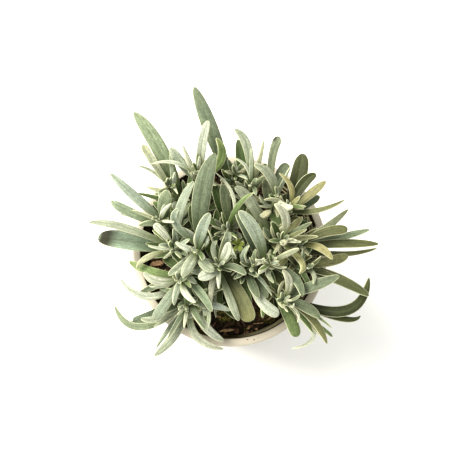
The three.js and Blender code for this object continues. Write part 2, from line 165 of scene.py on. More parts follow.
# quads between the rows of a tube, each row a closed ring of this many points
def tubeFaces(rows, count):
    faces = []
    for row in range(rows - 1):
        for k in range(count):
            a, b = row * count + k, row * count + (k + 1) % count
            faces.append((a, b, b + count, a + count))
    return faces


# triangles from a ring of points to one point beyond it
def fanFaces(first, count, top):
    return [(first + k, first + (k + 1) % count, top) for k in range(count)]


def finishPiece(piece, slotName, *nodes):
    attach(piece, "root")
    if nodes:
        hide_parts(*nodes)


# materials

# sizes of patches, flecks and relief in millimetres, where 1000 / 480 means 480 to a metre, and the colours
# laid over each leaf's own
feltLook = {
    "patch": 1000 / 480, "fleck": 1000 / 1700, "relief": 0.2, "streaks": (1.4, 0.1, 1.0), "bareGreenAndShade": "#78893f",
    "under": "#9aa384", "rib": "#4f5b36", "ripe": "#8f8c5c", "dark": "#232410", "woolAndHighlight": "#cccdaa",
}


def leafFelt():
    # living leaf under a felt of white star hairs: matt, a soft pale sheen at glancing angles,
    # flecked where the felt is thin, with a pale woolly line along its margin that is also a painted
    # highlight
    finish = {"Roughness": 0.66, "IOR": 1.4, "Sheen Weight": 0.1, "Sheen Roughness": 0.4}
    finish["Sheen Tint"] = linear("#eef0de")
    material, tree, shader = startMaterial("felted lavender leaf", finish)
    # What the mesh says of each point: its leaf's colour, where it lies on the blade (millimetres aside and
    # along, and a shift for each blade), its share of the way along, whether it is on the upper side, its
    # millimetres from the margin, and how dark it has turned.
    told = {}
    for name in ("tint", "lie", "along", "upper", "margin", "dark"):
        told[name] = addNode(tree, "ShaderNodeAttribute", attribute_name=name).outputs
    tint = told["tint"]["Color"]
    lie = told["lie"]["Vector"]
    along, upper, margin, dark = (told[name]["Fac"] for name in ("along", "upper", "margin", "dark"))
    place = addNode(tree, "ShaderNodeTexCoord").outputs["Object"]
    # patches of thinner felt, and flecks: the real ones are finer than the render shows
    patches = addNode(
        tree, "ShaderNodeTexNoise", {"Vector": place, "Scale": scaleFor(feltLook["patch"]), "Detail": 2.0})
    flecks = addNode(
        tree, "ShaderNodeTexNoise",
        {"Vector": place, "Scale": scaleFor(feltLook["fleck"]), "Detail": 2.0, "Roughness": 0.6})
    # wool lies in streaks along the blade, about 0.7 mm apart and 10 mm long
    drawnOut = addNode(tree, "ShaderNodeVectorMath", {0: lie, 1: feltLook["streaks"]}, operation="MULTIPLY")
    streaks = addNode(tree, "ShaderNodeTexNoise", {"Vector": drawnOut, "Scale": 1.0, "Detail": 2.0})
    strength = 1.0
    for pattern, low, high, least, most in (
            (patches, 0.35, 0.65, 0.9, 1.08),
            (flecks, 0.34, 0.66, 0.7, 1.3),
            (streaks, 0.34, 0.66, 0.8, 1.2)):
        change = addNode(tree, "ShaderNodeMapRange", {0: pattern, 1: low, 2: high, 3: least, 4: most})
        strength = addNode(tree, "ShaderNodeMath", {0: strength, 1: change}, operation="MULTIPLY")
    felty = addNode(tree, "ShaderNodeVectorMath", {0: tint, "Scale": strength}, operation="SCALE")
    # the felt is thin and the leaf a deep green towards its root; the darkening there is also painted shade
    # deep among the leaves
    feltOverRootShade = addNode(
        tree, "ShaderNodeMapRange", {0: along, 1: 0.04, 2: 0.55, 3: 0.08, 4: 1.0},
        interpolation_type="SMOOTHSTEP")
    green = linear(feltLook["bareGreenAndShade"])[:3]
    bareGreenAndShade = addNode(tree, "ShaderNodeVectorMath", {0: tint, 1: green}, operation="MULTIPLY")
    colour = addNode(tree, "ShaderNodeMix", {0: feltOverRootShade, 6: bareGreenAndShade, 7: felty}, data_type="RGBA")
    # the underside is whiter than the top
    under = addNode(tree, "ShaderNodeMapRange", {0: upper, 1: 0.0, 2: 1.0, 3: 0.3, 4: 0.0})
    # the midrib's groove is a thin greener line along the top, its darkness partly painted shade in the
    # crease
    sides = addNode(tree, "ShaderNodeSeparateXYZ", {0: lie})
    aside = addNode(tree, "ShaderNodeMath", {0: sides.outputs[0]}, operation="ABSOLUTE")
    groove = addNode(tree, "ShaderNodeMapRange", {0: aside, 1: 0.1, 2: 0.6, 3: 0.35, 4: 0.0})
    rib = addNode(tree, "ShaderNodeMath", {0: groove, 1: upper}, operation="MULTIPLY")
    # some tips ripen to yellow; how much is the tint's fourth channel
    tip = addNode(tree, "ShaderNodeMapRange", {0: along, 1: 0.72, 2: 1.0, 3: 0.0, 4: 1.0})
    ripe = addNode(tree, "ShaderNodeMath", {0: tip, 1: told["tint"]["Alpha"]}, operation="MULTIPLY")
    # wool stands thickest along the margin, in a line about 0.4 mm wide; the pale line is also a painted
    # highlight along the leaf's edge
    edge = addNode(tree, "ShaderNodeMapRange", {0: margin, 1: 0.08, 2: 0.48, 3: 0.85, 4: 0.0})
    woolAndHighlight = addNode(tree, "ShaderNodeMath", {0: edge, 1: feltOverRootShade}, operation="MULTIPLY")
    # each of these covers the ones before it
    for share, name in ((under, "under"), (rib, "rib"), (ripe, "ripe"), (dark, "dark"), (woolAndHighlight, "woolAndHighlight")):
        over = linear(feltLook[name])
        colour = addNode(tree, "ShaderNodeMix", {0: share, 6: colour, 7: over}, data_type="RGBA")
    bump = addNode(
        tree, "ShaderNodeBump", {"Height": flecks, "Strength": 0.5, "Distance": feltLook["relief"] * mm})
    setInputs(tree, shader, {"Base Color": colour, "Normal": bump})
    return material


# streaks, grain and relief in millimetres, and how far right of the axis the painted light on the ledges
# begins and where it is full
plasticLook = {"streak": 1000 / 70, "grain": 1000 / 1600, "relief": 0.1, "paintedLitFrom": 4, "paintedLit": 26}


def potPlastic(name, shade, roughness, paintedLit=None):
    # injection-moulded polypropylene: matt with a very fine even grain and faint flow streaks; given a second
    # shade, it paints light in it over the right-hand side
    material, tree, shader = startMaterial(name, {"Roughness": roughness, "IOR": 1.49})
    place = addNode(tree, "ShaderNodeTexCoord").outputs["Object"]
    streaks = addNode(
        tree, "ShaderNodeTexNoise",
        {"Vector": place, "Scale": scaleFor(plasticLook["streak"]), "Detail": 4.0, "Roughness": 0.65})
    grain = addNode(
        tree, "ShaderNodeTexNoise", {"Vector": place, "Scale": scaleFor(plasticLook["grain"]), "Detail": 1.0})
    tone = addNode(tree, "ShaderNodeMapRange", {0: streaks, 1: 0.3, 2: 0.7, 3: 0.96, 4: 1.03})
    # painted light: the second shade rises from left to right across the axis
    toSide = addNode(tree, "ShaderNodeSeparateXYZ", {0: place})
    share = addNode(
        tree, "ShaderNodeMapRange",
        {0: toSide.outputs[0], 1: plasticLook["paintedLitFrom"] * mm, 2: plasticLook["paintedLit"] * mm})
    shades = addNode(
        tree, "ShaderNodeMix", {0: share, 6: linear(shade), 7: linear(paintedLit or shade)}, data_type="RGBA")
    colour = addNode(tree, "ShaderNodeVectorMath", {0: shades, "Scale": tone}, operation="SCALE")
    bump = addNode(
        tree, "ShaderNodeBump", {"Height": grain, "Strength": 0.25, "Distance": plasticLook["relief"] * mm})
    setInputs(tree, shader, {"Base Color": colour, "Normal": bump})
    return material


def groundMatter(name, dark, light, grain, roughness=0.9, grown=None):
    # peat, bark or moss: rough, unevenly coloured matter, its grain in millimetres; given a grown colour, it
    # takes that on where the mesh says that moss has spread
    material, tree, shader = startMaterial(name, {"Roughness": roughness, "IOR": 1.4})
    place = addNode(tree, "ShaderNodeTexCoord").outputs["Object"]
    grit = addNode(
        tree, "ShaderNodeTexNoise",
        {"Vector": place, "Scale": scaleFor(grain), "Detail": 6.0, "Roughness": 0.7})
    share = addNode(tree, "ShaderNodeMapRange", {0: grit, 1: 0.38, 2: 0.68})
    mossy = addNode(tree, "ShaderNodeAttribute", attribute_name="mossy").outputs["Fac"]
    spread = addNode(tree, "ShaderNodeMapRange", {0: mossy, 1: 0.05, 2: 0.4})
    lit = addNode(
        tree, "ShaderNodeMix", {0: spread, 6: linear(light), 7: linear(grown or light)}, data_type="RGBA")
    colour = addNode(tree, "ShaderNodeMix", {0: share, 6: linear(dark), 7: lit}, data_type="RGBA")
    bump = addNode(tree, "ShaderNodeBump", {"Height": grit, "Strength": 0.8, "Distance": 0.6 * mm})
    setInputs(tree, shader, {"Base Color": colour, "Normal": bump})
    return material


felt = leafFelt()
potBeige = potPlastic("moulded polypropylene, beige", "#b2ab9a", 0.48)
# the inside wall and floor are coloured dark
potDark = potPlastic("moulded polypropylene, dark inner wall", "#2e2818", 0.36)
# the ledges' tops are dark, with painted light on their right-hand side
potLedge = potPlastic("moulded polypropylene, rubbed ledge", "#39321e", 0.42, "#a39b7c")
peat = groundMatter("moist peat compost", "#0d0a06", "#43341f", 1000 / 420, grown="#9f9650")
bark = groundMatter("composted bark", "#33261a", "#8c6a4c", 1000 / 420, 0.8)
paleBark = groundMatter("dry bark and wood", "#755a3e", "#d8b68e", 1000 / 520, 0.8)
moss = groundMatter("cushion moss", "#3d3a12", "#9c9246", 1000 / 900)


# camera


def placeCamera():
    aimPoint = Vector((0, view["aim"] * sinView, rimHeight + view["aim"] * cosView)) * mm
    data = bpy.data.cameras.new("camera")
    data.sensor_width = view["sensor"]
    data.lens = view["focal"] * view["sensor"] / (2 * view["middle"])
    data.clip_start = 10 * mm
    camera = addObject("camera", data)
    camera.location = aimPoint + Vector((0, -cosView, sinView)) * view["distance"] * mm
    camera.rotation_euler = (math.radians(90 - view["elevation"]), 0, 0)
    bpy.context.scene.camera = camera


placeCamera()
print("camera placed")


# leaves and stems

# What a blade is like. Arch, the root's width, the widest place, fold and thickness are the solid leaves'.
# The rest shapes only the finer blade. Small ones are thinner, by a share of their width, and slender ones
# are widest lower down and sharper. Groove, rolled margin and the underside's rib have a height and a width,
# as shares of the half width, but the rib's height is in millimetres. Stations crowd to the tip, and margins
# wave.
leafShape = {
    "arch": 0.09, "rootWidth": 0.2, "widestAt": 0.62, "foldUp": 0.13, "thickness": 0.85, "thinnest": 0.2,
    "thickShare": 0.17, "lower": 0.17, "blunt": 2.5, "sharper": 0.9, "groove": 0.1, "grooveWidth": 0.17,
    "rolled": 0.1, "rollFrom": 0.78, "rollWidth": 0.22, "rib": 0.25, "ribWidth": 0.14, "crowding": 1.35,
    "wave": 0.035, "leastCurl": 0.05, "steps": 22, "smallSteps": 12,
}
# a brown spot's place along its leaf and how far it reaches, and how it sets in to the left of the midrib
spotShape = {"along": 0.91, "reach": 0.055, "full": 1.6, "rise": 2.2, "past": 0.4}
# where a dark end sets in and how fast, and how much of the tip stays light, as shares of the leaf
darkEnd = {"from": 0.66, "over": 0.16, "tip": 0.07}
stemShape = {
    "radius": 1.45, "headRadius": 1.0, "cadRadius": 1.7, "upright": 5, "bendAt": 0.25, "bendRise": 8,
    "socket": 12, "sides": 16, "stations": 18, "squareness": 0.08, "woody": "#6a5636", "green": "#a3ad7c",
}
soilTop = rimHeight - 15
# where a blade's points lie across it, from margin to margin: fine for large leaves, coarse for small ones
acrossFine = np.array([-1, -0.95, -0.84, -0.62, -0.36, -0.13, 0, 0.13, 0.36, 0.62, 0.84, 0.95, 1])
acrossSmall = np.array([-1, -0.9, -0.5, 0, 0.5, 0.9, 1])

# felt and leaf colours, by how much wool is left on the leaf and how old it is; some leaves take a paler tone
# as painted light where they lie in shade, q and n among them, and some a darker one as painted shade where
# they are brightly lit; i is a grey-green darkened as painted shade
tones = {
    "w": "#ecedd5", "s": "#b9c1aa", "g": "#99a484", "h": "#abb297", "e": "#91977a", "l": "#a4b08d",
    "m": "#788b57", "b": "#8da166", "d": "#576b36", "k": "#4e532a", "u": "#6c6e44", "o": "#89885c",
    "y": "#beb784", "c": "#c9c8a7", "n": "#a9b89c", "t": "#aaa577", "v": "#5b7024", "j": "#93a040",
    "i": "#7a856a", "f": "#a0ae92", "q": "#cfd4c1",
}
# The share of a tone that a leaf reflects, and how much that and its warmth vary. Leaves placed by rule take
# the left or right tones, from low to high over this many millimetres, the right ones from this far right of
# the axis. Low tones are darker partly as painted shade deep in the plant, and the right ones more olive
# partly as painted shade on the side away from the light. Leaves of the ripening tones have yellower tips.
toneRule = {
    "share": 0.5, "spread": 0.2, "warmth": 0.08, "height": 70, "jitter": 0.35, "left": "dddmgs",
    "right": "kdumoc", "rightFrom": 20, "ripening": "byoc", "ripe": 0.3, "unripe": 0.08,
}

# Each shoot as the part has it: head (x, y, height above the rim), foot (x and y in millimetres), the tuft's
# leaves, and the leaves that show: tip x, tip y, tip height, width, bow, root height, tone, which for some
# leaves also holds painted light and shade, a capital where the end is round, and for some x and y of the
# middle.
shootRows = [
    ((196, 172, 42), (-9, 27), 4, [
        (208.5, 120.5, 58, 10, 2, 33, "w", 201.8, 146), (216, 138, 56, 9, 3, 32, "b", 221, 159),
        (199.5, 156, 52, 4, 0, 38, "w"), (197, 152.5, 46, 5, 0, 34, "g"),
        (183, 145, 52, 6, 1, 36, "w", 188.7, 160.5), (170.5, 147, 42, 10.5, 2, 28, "s", 182, 163.5),
        (151, 164, 46, 4.5, 7, 36, "w")]),
    ((252, 184, 40), (10, 25), 4, [
        (234, 129, 50, 9.5, 5, 30, "s", 248, 149), (238, 139, 24, 11, 0, 8, "d"),
        (232.5, 157.5, 46, 3.8, 7, 34, "w"), (264, 139.5, 44, 5.5, 1, 26, "c"), (251, 148, 44, 4, 0, 32, "s"),
        (264, 176, 46, 6, 0, 30, "g")]),
    ((277, 196, 44), (23, 17), 3, [
        (280, 137, 47, 9.5, 2, 22, "E", 271.5, 163), (254, 164.5, 54, 10, 8, 38, "s"),
        (288, 163.5, 34, 12, 0, 20, "I", 277, 184), (291, 166, 40, 4, 0, 30, "s"),
        (264, 178, 38, 9, 0, 22, "g")]),
    ((284, 241, 48), (22, 4), 6, [
        (274, 204, 62, 9, 5, 40, "w", 286, 219), (271, 222, 54, 7, 2, 36, "d"), (263, 228, 46, 7, 0, 28, "l"),
        (312, 222, 50, 5.5, 0, 36, "i"), (307, 229, 52, 5, 0, 42, "o"), (318.5, 236.5, 46, 6, 0, 34, "t"),
        (301.5, 242, 52, 3.5, 0, 44, "w"), (299, 273.5, 42, 7, -8, 38, "y", 301.5, 261),
        (235, 187.5, 44, 12, 0, 24, "s", 252, 203)]),
    ((271, 264, 50), (13, -7), 5, [
        (238.5, 211, 60, 13.5, 5, 36, "s"), (236, 214, 46, 9.5, 2, 22, "i"),
        (258.5, 273, 52, 6.5, 0, 46, "w"),
        (255, 260, 54, 4, 0, 46, "w"), (274, 283, 50, 5, 3, 42, "s"),
        (302, 297, 42, 9, -4, 34, "i", 292.5, 276),
        (299.5, 249, 52, 6, 0, 44, "c", 288, 253.5)]),
    ((286, 304, 36), (22, -21), 5, [
        (282.5, 270, 50, 8, 7, 30, "w"), (339.5, 275.5, 42, 11.5, 0, 24, "i", 308.5, 287.5),
        (291.5, 348.5, 4, 5, -9, 14, "w", 313, 329.5), (297, 337, 18, 12.5, -2, 14, "M"),
        (327, 344, 16, 8, -3, 24, "o", 309, 315.5), (332.5, 328.5, 24, 4.5, -2, 26, "g"),
        (320, 318, 30, 10.5, -2, 26, "i", 304, 306), (313, 333, 22, 7, -3, 20, "m"),
        (369, 277, 16, 11, 24, 6, "k", 340, 311.5), (360.5, 315.5, 8, 7, 4, 10, "k", 333, 316)]),
    ((169, 186, 36), (-24, 21), 4, [
        (133.5, 112, 48, 16, 5, 18, "l"), (142.5, 144.5, 42, 8.5, 1, 28, "C", 157, 168),
        (135, 165.5, 34, 3.8, 0, 28, "s", 155, 173), (170, 153, 42, 4, 0, 28, "s"),
        (175, 172, 44, 4.5, 0, 30, "w"),
        (146, 187, 30, 5, 0, 24, "c"), (136, 193, 14, 5, 0, 12, "d")]),
    ((158, 220, 36), (-29, 10), 4, [
        (110, 173, 36, 10.5, 0, 22, "s", 138, 199), (111, 200.5, 26, 10.5, 4, 14, "f", 132, 213),
        (132, 210, 34, 4, 0, 26, "c"), (120, 214, 20, 5, 1, 12, "b"), (168, 190, 46, 14, -2, 28, "g"),
        (171.5, 203.5, 52, 5, 0, 32, "w", 162.5, 213)]),
    ((197, 251, 48), (-11, 4), 5, [
        (215, 153, 62, 19, -3, 34, "i", 201, 199), (210, 213, 62, 11.5, 2, 46, "s", 201.5, 231),
        (182, 277, 50, 11, 0, 46, "s"), (214.5, 270.5, 48, 10.5, 0, 44, "h", 204, 263.5),
        (179.5, 208.5, 50, 7.5, -2, 34, "s", 176, 224), (190, 205, 34, 9, -3, 14, "m"),
        (168, 275, 44, 9.5, -2, 38, "h"), (175.5, 242, 50, 7, 0, 44, "w", 187, 247.5)]),
    ((180, 281, 40), (-21, -11), 5, [
        (212, 312, 36, 8.5, -3, 32, "l"), (209, 305, 24, 10, -2, 18, "d"), (196, 302.5, 46, 7.5, 4, 36, "w"),
        (154, 320, 34, 11.5, 0, 30, "H"), (119.5, 278, 24, 7.5, 2, 16, "q", 152, 296.5),
        (137, 294.5, 18, 7.5, 0, 16, "i"), (143.5, 272, 34, 9, 2, 30, "q", 160.5, 281.5),
        (129, 261, 24, 8.5, 0, 28, "b", 151, 271)]),
    ((184, 309, 32), (-17, -26), 4, [
        (224, 349, 5, 8, 8, 20, "w", 195, 334.5), (224, 341, 9, 9.5, 6, 16, "w", 204, 324.5),
        (140.5, 318.5, 24, 8, 0, 20, "s", 164, 317), (114.5, 305, 8, 7.5, -14, 10, "g", 143.6, 326.8),
        (131, 321, 4, 13, 0, 4, "i", 147, 318.5), (154, 356, 22, 10, 2, 22, "s", 175.5, 333),
        (155.5, 349, 14, 6, 1, 14, "s"),
        (167, 340, 30, 5, 0, 26, "i"), (184, 328, 34, 4, 0, 26, "w")]),
    ((173, 250, 42), (-31, 1), 4, [
        (98, 237, 20, 20, 3, 16, "N", 132, 241.5), (88.5, 222.5, 34, 8.5, 9, 30, "s", 127, 228),
        (154, 224, 48, 8, 1, 34, "W"), (167, 239, 46, 5, 0, 36, "v"),
        (137, 269, 32, 6.5, 10, 34, "c", 147.5, 257), (194, 181, 46, 10, 0, 26, "s", 179, 213)]),
    ((254, 265, 38), (3, -21), 3, [
        (259, 298, 32, 9, 0, 26, "i", 252, 284), (267, 298, 26, 11, -3, 16, "g"),
        (272, 296, 32, 4, -2, 28, "s"),
        (279.5, 314, 22, 11.5, -3, 22, "Q", 260.5, 300), (249.5, 245, 46, 6.5, 0, 32, "s", 243, 257),
        (240, 262, 42, 4, 0, 34, "i")]),
    ((308, 267, 34), (31, -9), 4, [
        (369, 296, 22, 12, -6, 16, "u", 334, 277.5), (313, 284, 40, 4.5, -4, 32, "s"),
        (334, 276, 24, 7, 0, 18, "k"),
        (321, 256, 40, 4, 3, 30, "u"), (332, 262, 16, 10, 0, 12, "k"),
        (348, 255, 22, 11, 0, 20, "o", 328, 261.5)]),
    ((237, 173, 36), (1, 36), 3, [
        (194, 86.5, 60, 16, 2, 12, "f", 213, 134.5), (234, 160, 44, 4.5, 0, 32, "w"),
        (224.5, 171, 40, 4.5, 0, 34, "c"),
        (249, 166, 42, 4.5, 0, 34, "c")]),
    ((219, 266, 42), (-9, -13), 4, [
        (229, 242, 54, 9.5, 2, 36, "w"), (224.5, 236, 50, 4.5, 0, 36, "e"), (198, 278, 46, 12, -2, 40, "q"),
        (219, 289, 44, 5, 0, 38, "w"), (210.5, 307.5, 32, 6.5, 3, 30, "w"), (216, 318, 14, 4, 2, 16, "s"),
        (250, 322, 22, 16, -4, 20, "O"), (239, 321, 24, 8, -4, 28, "s", 230.5, 300),
        (246, 275, 46, 8, 0, 38, "i", 234, 267), (228, 231.5, 46, 8, 0, 36, "H", 225.5, 247)]),
    ((227, 232, 40), (2, 13), 4, [
        (222, 184, 44, 10, 4, 26, "l", 226, 203), (215.5, 172.5, 50, 3.8, 0, 34, "w", 234, 200),
        (213, 180, 26, 10, -2, 10, "d"),
        (221.5, 212, 46, 4, 0, 32, "m"), (254, 192.5, 60, 6, -6, 34, "b", 237, 207),
        (236.5, 258.5, 42, 5.5, 0, 36, "w", 230.5, 249)]),
    ((290, 205, 40), (34, 10), 4, [
        (302.5, 153.5, 36, 17, 3, 24, "k", 298, 178), (316.5, 175, 40, 11, 2, 32, "k", 303, 184.5),
        (326, 181, 38, 9, 1, 30, "t", 310, 194), (300, 196, 46, 5, 0, 36, "y"),
        (306, 206.5, 42, 4.5, 0, 36, "c"),
        (319, 195.5, 26, 8, 0, 22, "i", 309.5, 203), (345, 199.5, 40, 6.5, 6, 32, "o", 317, 210),
        (279, 173, 44, 6, 9, 30, "y"), (264, 200, 50, 4.5, 3, 37, "c"), (276, 207, 50, 8, 0, 38, "w")]),
    ((301, 245, 36), (40, 1), 3, [
        (348.5, 209, 34, 8, -2, 18, "e", 322, 230.5), (348, 229.5, 38, 10.5, 0, 28, "U", 322, 233),
        (370, 229.5, 22, 8.5, -2, 8, "g", 332, 239.5), (332.5, 259.5, 40, 8, -6, 34, "y", 319, 247),
        (379, 244, 26, 9.5, 0, 20, "u"), (377.5, 248, 16, 6, 2, 12, "o", 338, 254)]),
    ((196, 303, 30), (-6, -30), 4, [
        (188, 318, 18, 9, 0, 14, "w"), (205, 316, 26, 6, 0, 20, "s")]),
]
# the leaf with a brown spot beside its tip: its shoot and its place in the row
spottedLeaf = (3, 1)
# young leaves too small for the solid shoots, by shoot, given as the others are
youngRows = {
    1: [(191.5, 166.5, 48, 2.8, 0, 39, "w", 195.5, 168.5)],
    3: [(293, 206, 52, 8, 0, 42, "w", 285, 206)],
    4: [(292.5, 239, 54, 2, 0, 46, "w", 289, 239), (297, 241, 54, 2.2, 0, 46, "w", 292.5, 239.5)],
    5: [(262.5, 261, 56, 2.4, 0, 48, "c", 265.5, 264), (277, 258, 56, 3.6, 0, 48, "w", 273, 260),
        (280, 264.5, 54, 3, 0, 48, "w", 275.5, 264), (287, 267, 52, 2.8, 0, 47, "c", 280, 267.5)],
    6: [(288, 312, 44, 2.4, 0, 35, "w", 285.5, 308), (294, 303, 44, 2.4, 0, 35, "w", 291.5, 306.5),
        (292, 300.5, 46, 2.2, 0, 35, "w", 287, 300.5), (297, 322.5, 34, 2.8, 0, 30, "w", 297, 312),
        (331, 335.5, 12, 4.5, 0, 20, "m", 321, 327), (322, 338, 12, 3.4, 0, 20, "c", 314, 328),
        (301, 294, 44, 3, 0, 33, "g", 294, 299)],
    7: [(178, 194.5, 42, 3, 0, 34, "w", 173.5, 187.5), (165, 181.5, 44, 2.4, 0, 34, "c", 166.5, 184.5)],
    8: [(152.5, 217, 44, 2.8, 0, 35, "w", 155, 219.5), (174.5, 222, 48, 4, 0, 35, "w", 167, 221)],
    9: [(189.5, 246.5, 54, 3, 0, 47, "w", 193.5, 248.5), (203.5, 259.5, 54, 5.5, 0, 47, "w", 201.5, 255)],
    10: [(183.5, 275, 48, 3, 0, 39, "w", 182.5, 278), (149, 286.5, 32, 3.6, 0, 30, "s", 165, 285.5),
         (172.5, 276.5, 46, 2.8, 0, 39, "c", 176, 278)],
    11: [(153.5, 326.5, 24, 4, 0, 24, "s", 167, 319), (177.5, 314.5, 38, 2.6, 0, 31, "w", 180.5, 312)],
    12: [(148, 245.5, 46, 3.6, 0, 38, "w", 159, 248), (163.5, 258.5, 46, 3, 0, 39, "w", 168, 255)],
    13: [(264.5, 258, 48, 4, 0, 36, "w", 260, 262), (252, 258.5, 46, 3.6, 0, 36, "s", 252.5, 262),
         (244.5, 253.5, 44, 2.8, 0, 32, "w", 247, 261), (256, 258, 46, 2.4, 0, 36, "c", 255.5, 262)],
    16: [(217.5, 241, 48, 5.5, 0, 38, "s", 213, 249), (207.5, 230.5, 30, 6.5, 0, 20, "v", 207.5, 246),
         (207, 228, 44, 2.2, 0, 34, "s", 213.5, 243), (190, 270.5, 42, 6, 0, 38, "s", 203, 272)],
    17: [(212, 226, 48, 2.4, 0, 38, "c", 219, 228.5), (221, 217, 28, 6, 0, 16, "v", 224, 226)],
    20: [(231, 310.5, 26, 7.5, 0, 24, "q", 214, 305), (206, 309, 28, 4, 0, 27, "s", 201, 305)],
}
# side sprigs: the shoot and the height their stalk leaves it at, the place they stand at, their buds
# and leaves
sprigRows = [
    {"shoot": 4, "from": 44, "at": (284, 242.5, 54.5), "bud": (5.0, 4.2, 2.6, 30), "tone": "c", "leaves": []},
    {"shoot": 3, "from": 28, "at": (266.5, 214, 46), "bud": (7.4, 5.0, 4.0, 35), "tone": "c",
     "leaves": [(260, 216.5, 46, 5)]},
    {"shoot": 17, "from": 32, "at": (238, 245.5, 38), "bud": None, "tone": "j",
     "leaves": [(231.5, 241, 42, 5), (238, 238.5, 43, 5), (244, 242.5, 42, 5), (242, 250.5, 41, 5.5),
                (234.5, 250.5, 41, 5)]},
]
# what the part's source tries for a leaf that meets another: its tip this many millimetres higher
heightTries = [0, 2.5, -2.5, 5, -5, 7.5, -7.5, 10, -10, 13, -13, 16, -16, 20]
# the part's own rule for the small leaves of a tuft and the lower leaves: degrees from one leaf and one shoot
# to the next and their spread, and how much shorter each try is
leafRule = {"turn": 90, "shootTurn": 37, "spread": 80, "shorter": 0.03, "bow": 0.16, "roll": 0.7,
            "overFoot": 2}
tuftLeaf = {"length": (7, 14), "width": (2, 3), "steepness": (42, 76), "below": 0.8, "drop": 5, "seed": 118,
            "wider": 1.05, "higher": 2.2, "young": 0.2}
lowerLeaf = {"length": (20, 32), "width": (4.5, 7.5), "steepness": (2, 34), "between": (0.08, 0.66),
             "count": 4, "seed": 101}


# a blade from root to tip; bow and arch bend it aside and up, roll and twist turn it about its own line, and
# curl rounds it across
def newLeaf(root, tip, width, **more):
    plain = {"root": root, "tip": tip, "width": width, "bow": 0, "arch": 0, "roll": 0, "twist": 0, "curl": 1,
             "slender": 0, "young": 0, "dark": 0, "spot": 0, "across": acrossSmall}
    return plain | more


# how curved each blade is: its own draw of curl and twist
def bendLeaf(leaf, curl, twist, place):
    leaf["curl"] = between(curl, draw(leaf["seed"], place))
    leaf["twist"] = between(twist, draw(leaf["seed"], place + 1))


def onLine(line, t):
    t = np.atleast_1d(t)[:, None]
    start, bend, end = line
    return (1 - t) ** 2 * start + 2 * (1 - t) * t * bend + t ** 2 * end


def stemLine(foot, head):
    start = np.array([*foot, soilTop + stemShape["upright"]], dtype=float)
    bend = start + stemShape["bendAt"] * (head - start)
    bend[2] += stemShape["bendRise"]
    return start, bend, head


# the point of a stem at this height, found by halving
def stemAt(line, z):
    low, high = 0.0, 1.0
    for _ in range(24):
        half = (low + high) / 2
        if onLine(line, half)[0][2] < z:
            low = half
        else:
            high = half
    return onLine(line, low)[0]


def seenLeaf(shoot, row, attempt):
    x, y, rise, width, bow, rootRise = row[:6]
    change = heightTries[attempt]
    tip = seenAt(x, y, rise + change)
    highest = shoot["head"][2] - stemShape["cadRadius"]
    root = stemAt(shoot["line"], min(highest, rimHeight + rootRise + 0.5 * change))
    scale = viewScale(tip)
    arch = leafShape["arch"] * np.linalg.norm(tip - root)
    leaf = newLeaf(root, tip, width * scale, bow=bow * scale, arch=arch)
    if len(row) > 7:
        leaf["middle"] = seenAt(row[7], row[8], (root[2] + tip[2]) / 2 + arch - rimHeight)
    return leaf


# where a leaf of this length ends that leaves its root at this turn and steepness, in radians
def leafEnd(root, length, turn, steep):
    level = length * math.cos(steep)
    return root + np.array([level * math.cos(turn), level * math.sin(turn), length * math.sin(steep)])


def ruledLeaf(shoot, kind, place, attempt):
    seed = kind["seed"] + 53 * shoot["number"]

    def pick(n):
        return draw(seed, 40 * place + 8 * attempt + n)

    turn = leafRule["turn"] * place + leafRule["shootTurn"] * shoot["number"]
    turn += leafRule["spread"] * (pick(0) - 0.5)
    steep = math.radians(between(kind["steepness"], pick(1)))
    length = between(kind["length"], pick(2)) * (1 - leafRule["shorter"] * attempt)
    if kind is tuftLeaf:
        height = shoot["head"][2] - kind["below"] - kind["drop"] * pick(4)
    else:
        base = soilTop + stemShape["upright"] + leafRule["overFoot"]
        share = between(kind["between"], (place + pick(4)) / kind["count"])
        height = base + (shoot["head"][2] - base) * share
    root = stemAt(shoot["line"], height)
    return newLeaf(
        root, leafEnd(root, length, math.radians(turn), steep), between(kind["width"], pick(3)),
        bow=leafRule["bow"] * length * (pick(5) - 0.5), arch=leafShape["arch"] * length,
        roll=leafRule["roll"] * (pick(6) - 0.5))


# a blade's share of its full width along it; slender ones are widest lower and end in a point
def outline(t, slender=0.0):
    widest = leafShape["widestAt"] - leafShape["lower"] * slender
    share = np.clip(t / widest, 0, 1)
    past = np.clip((t - widest) / (1 - widest), 0, 1)
    growing = leafShape["rootWidth"] + (1 - leafShape["rootWidth"]) * share * (2 - share)
    power = leafShape["blunt"] - leafShape["sharper"] * slender
    return np.where(t < widest, growing, np.sqrt(1 - past ** power))


# the blade's line and the directions across and above it at each station
def bladeFrame(leaf, t):
    chord = leaf["tip"] - leaf["root"]
    right = unit(np.array([chord[1], -chord[0], 0]))
    halfway = (leaf["root"] + leaf["tip"]) / 2
    bend = halfway + 2 * leaf["bow"] * right + np.array([0, 0, 2 * leaf["arch"]])
    if "middle" in leaf:
        bend = 2 * leaf["middle"] - halfway
    centre = onLine((leaf["root"], bend, leaf["tip"]), t)
    tangent = unit((1 - t)[:, None] * (bend - leaf["root"]) + t[:, None] * (leaf["tip"] - bend))
    side = unit(np.stack([tangent[:, 1], -tangent[:, 0], np.zeros(len(t))], axis=1))
    up = np.cross(side, tangent)
    turn = leaf["roll"] + leaf["twist"] * t
    cosTurn, sinTurn = np.cos(turn)[:, None], np.sin(turn)[:, None]
    return centre, side * cosTurn - up * sinTurn, up * cosTurn + side * sinTurn


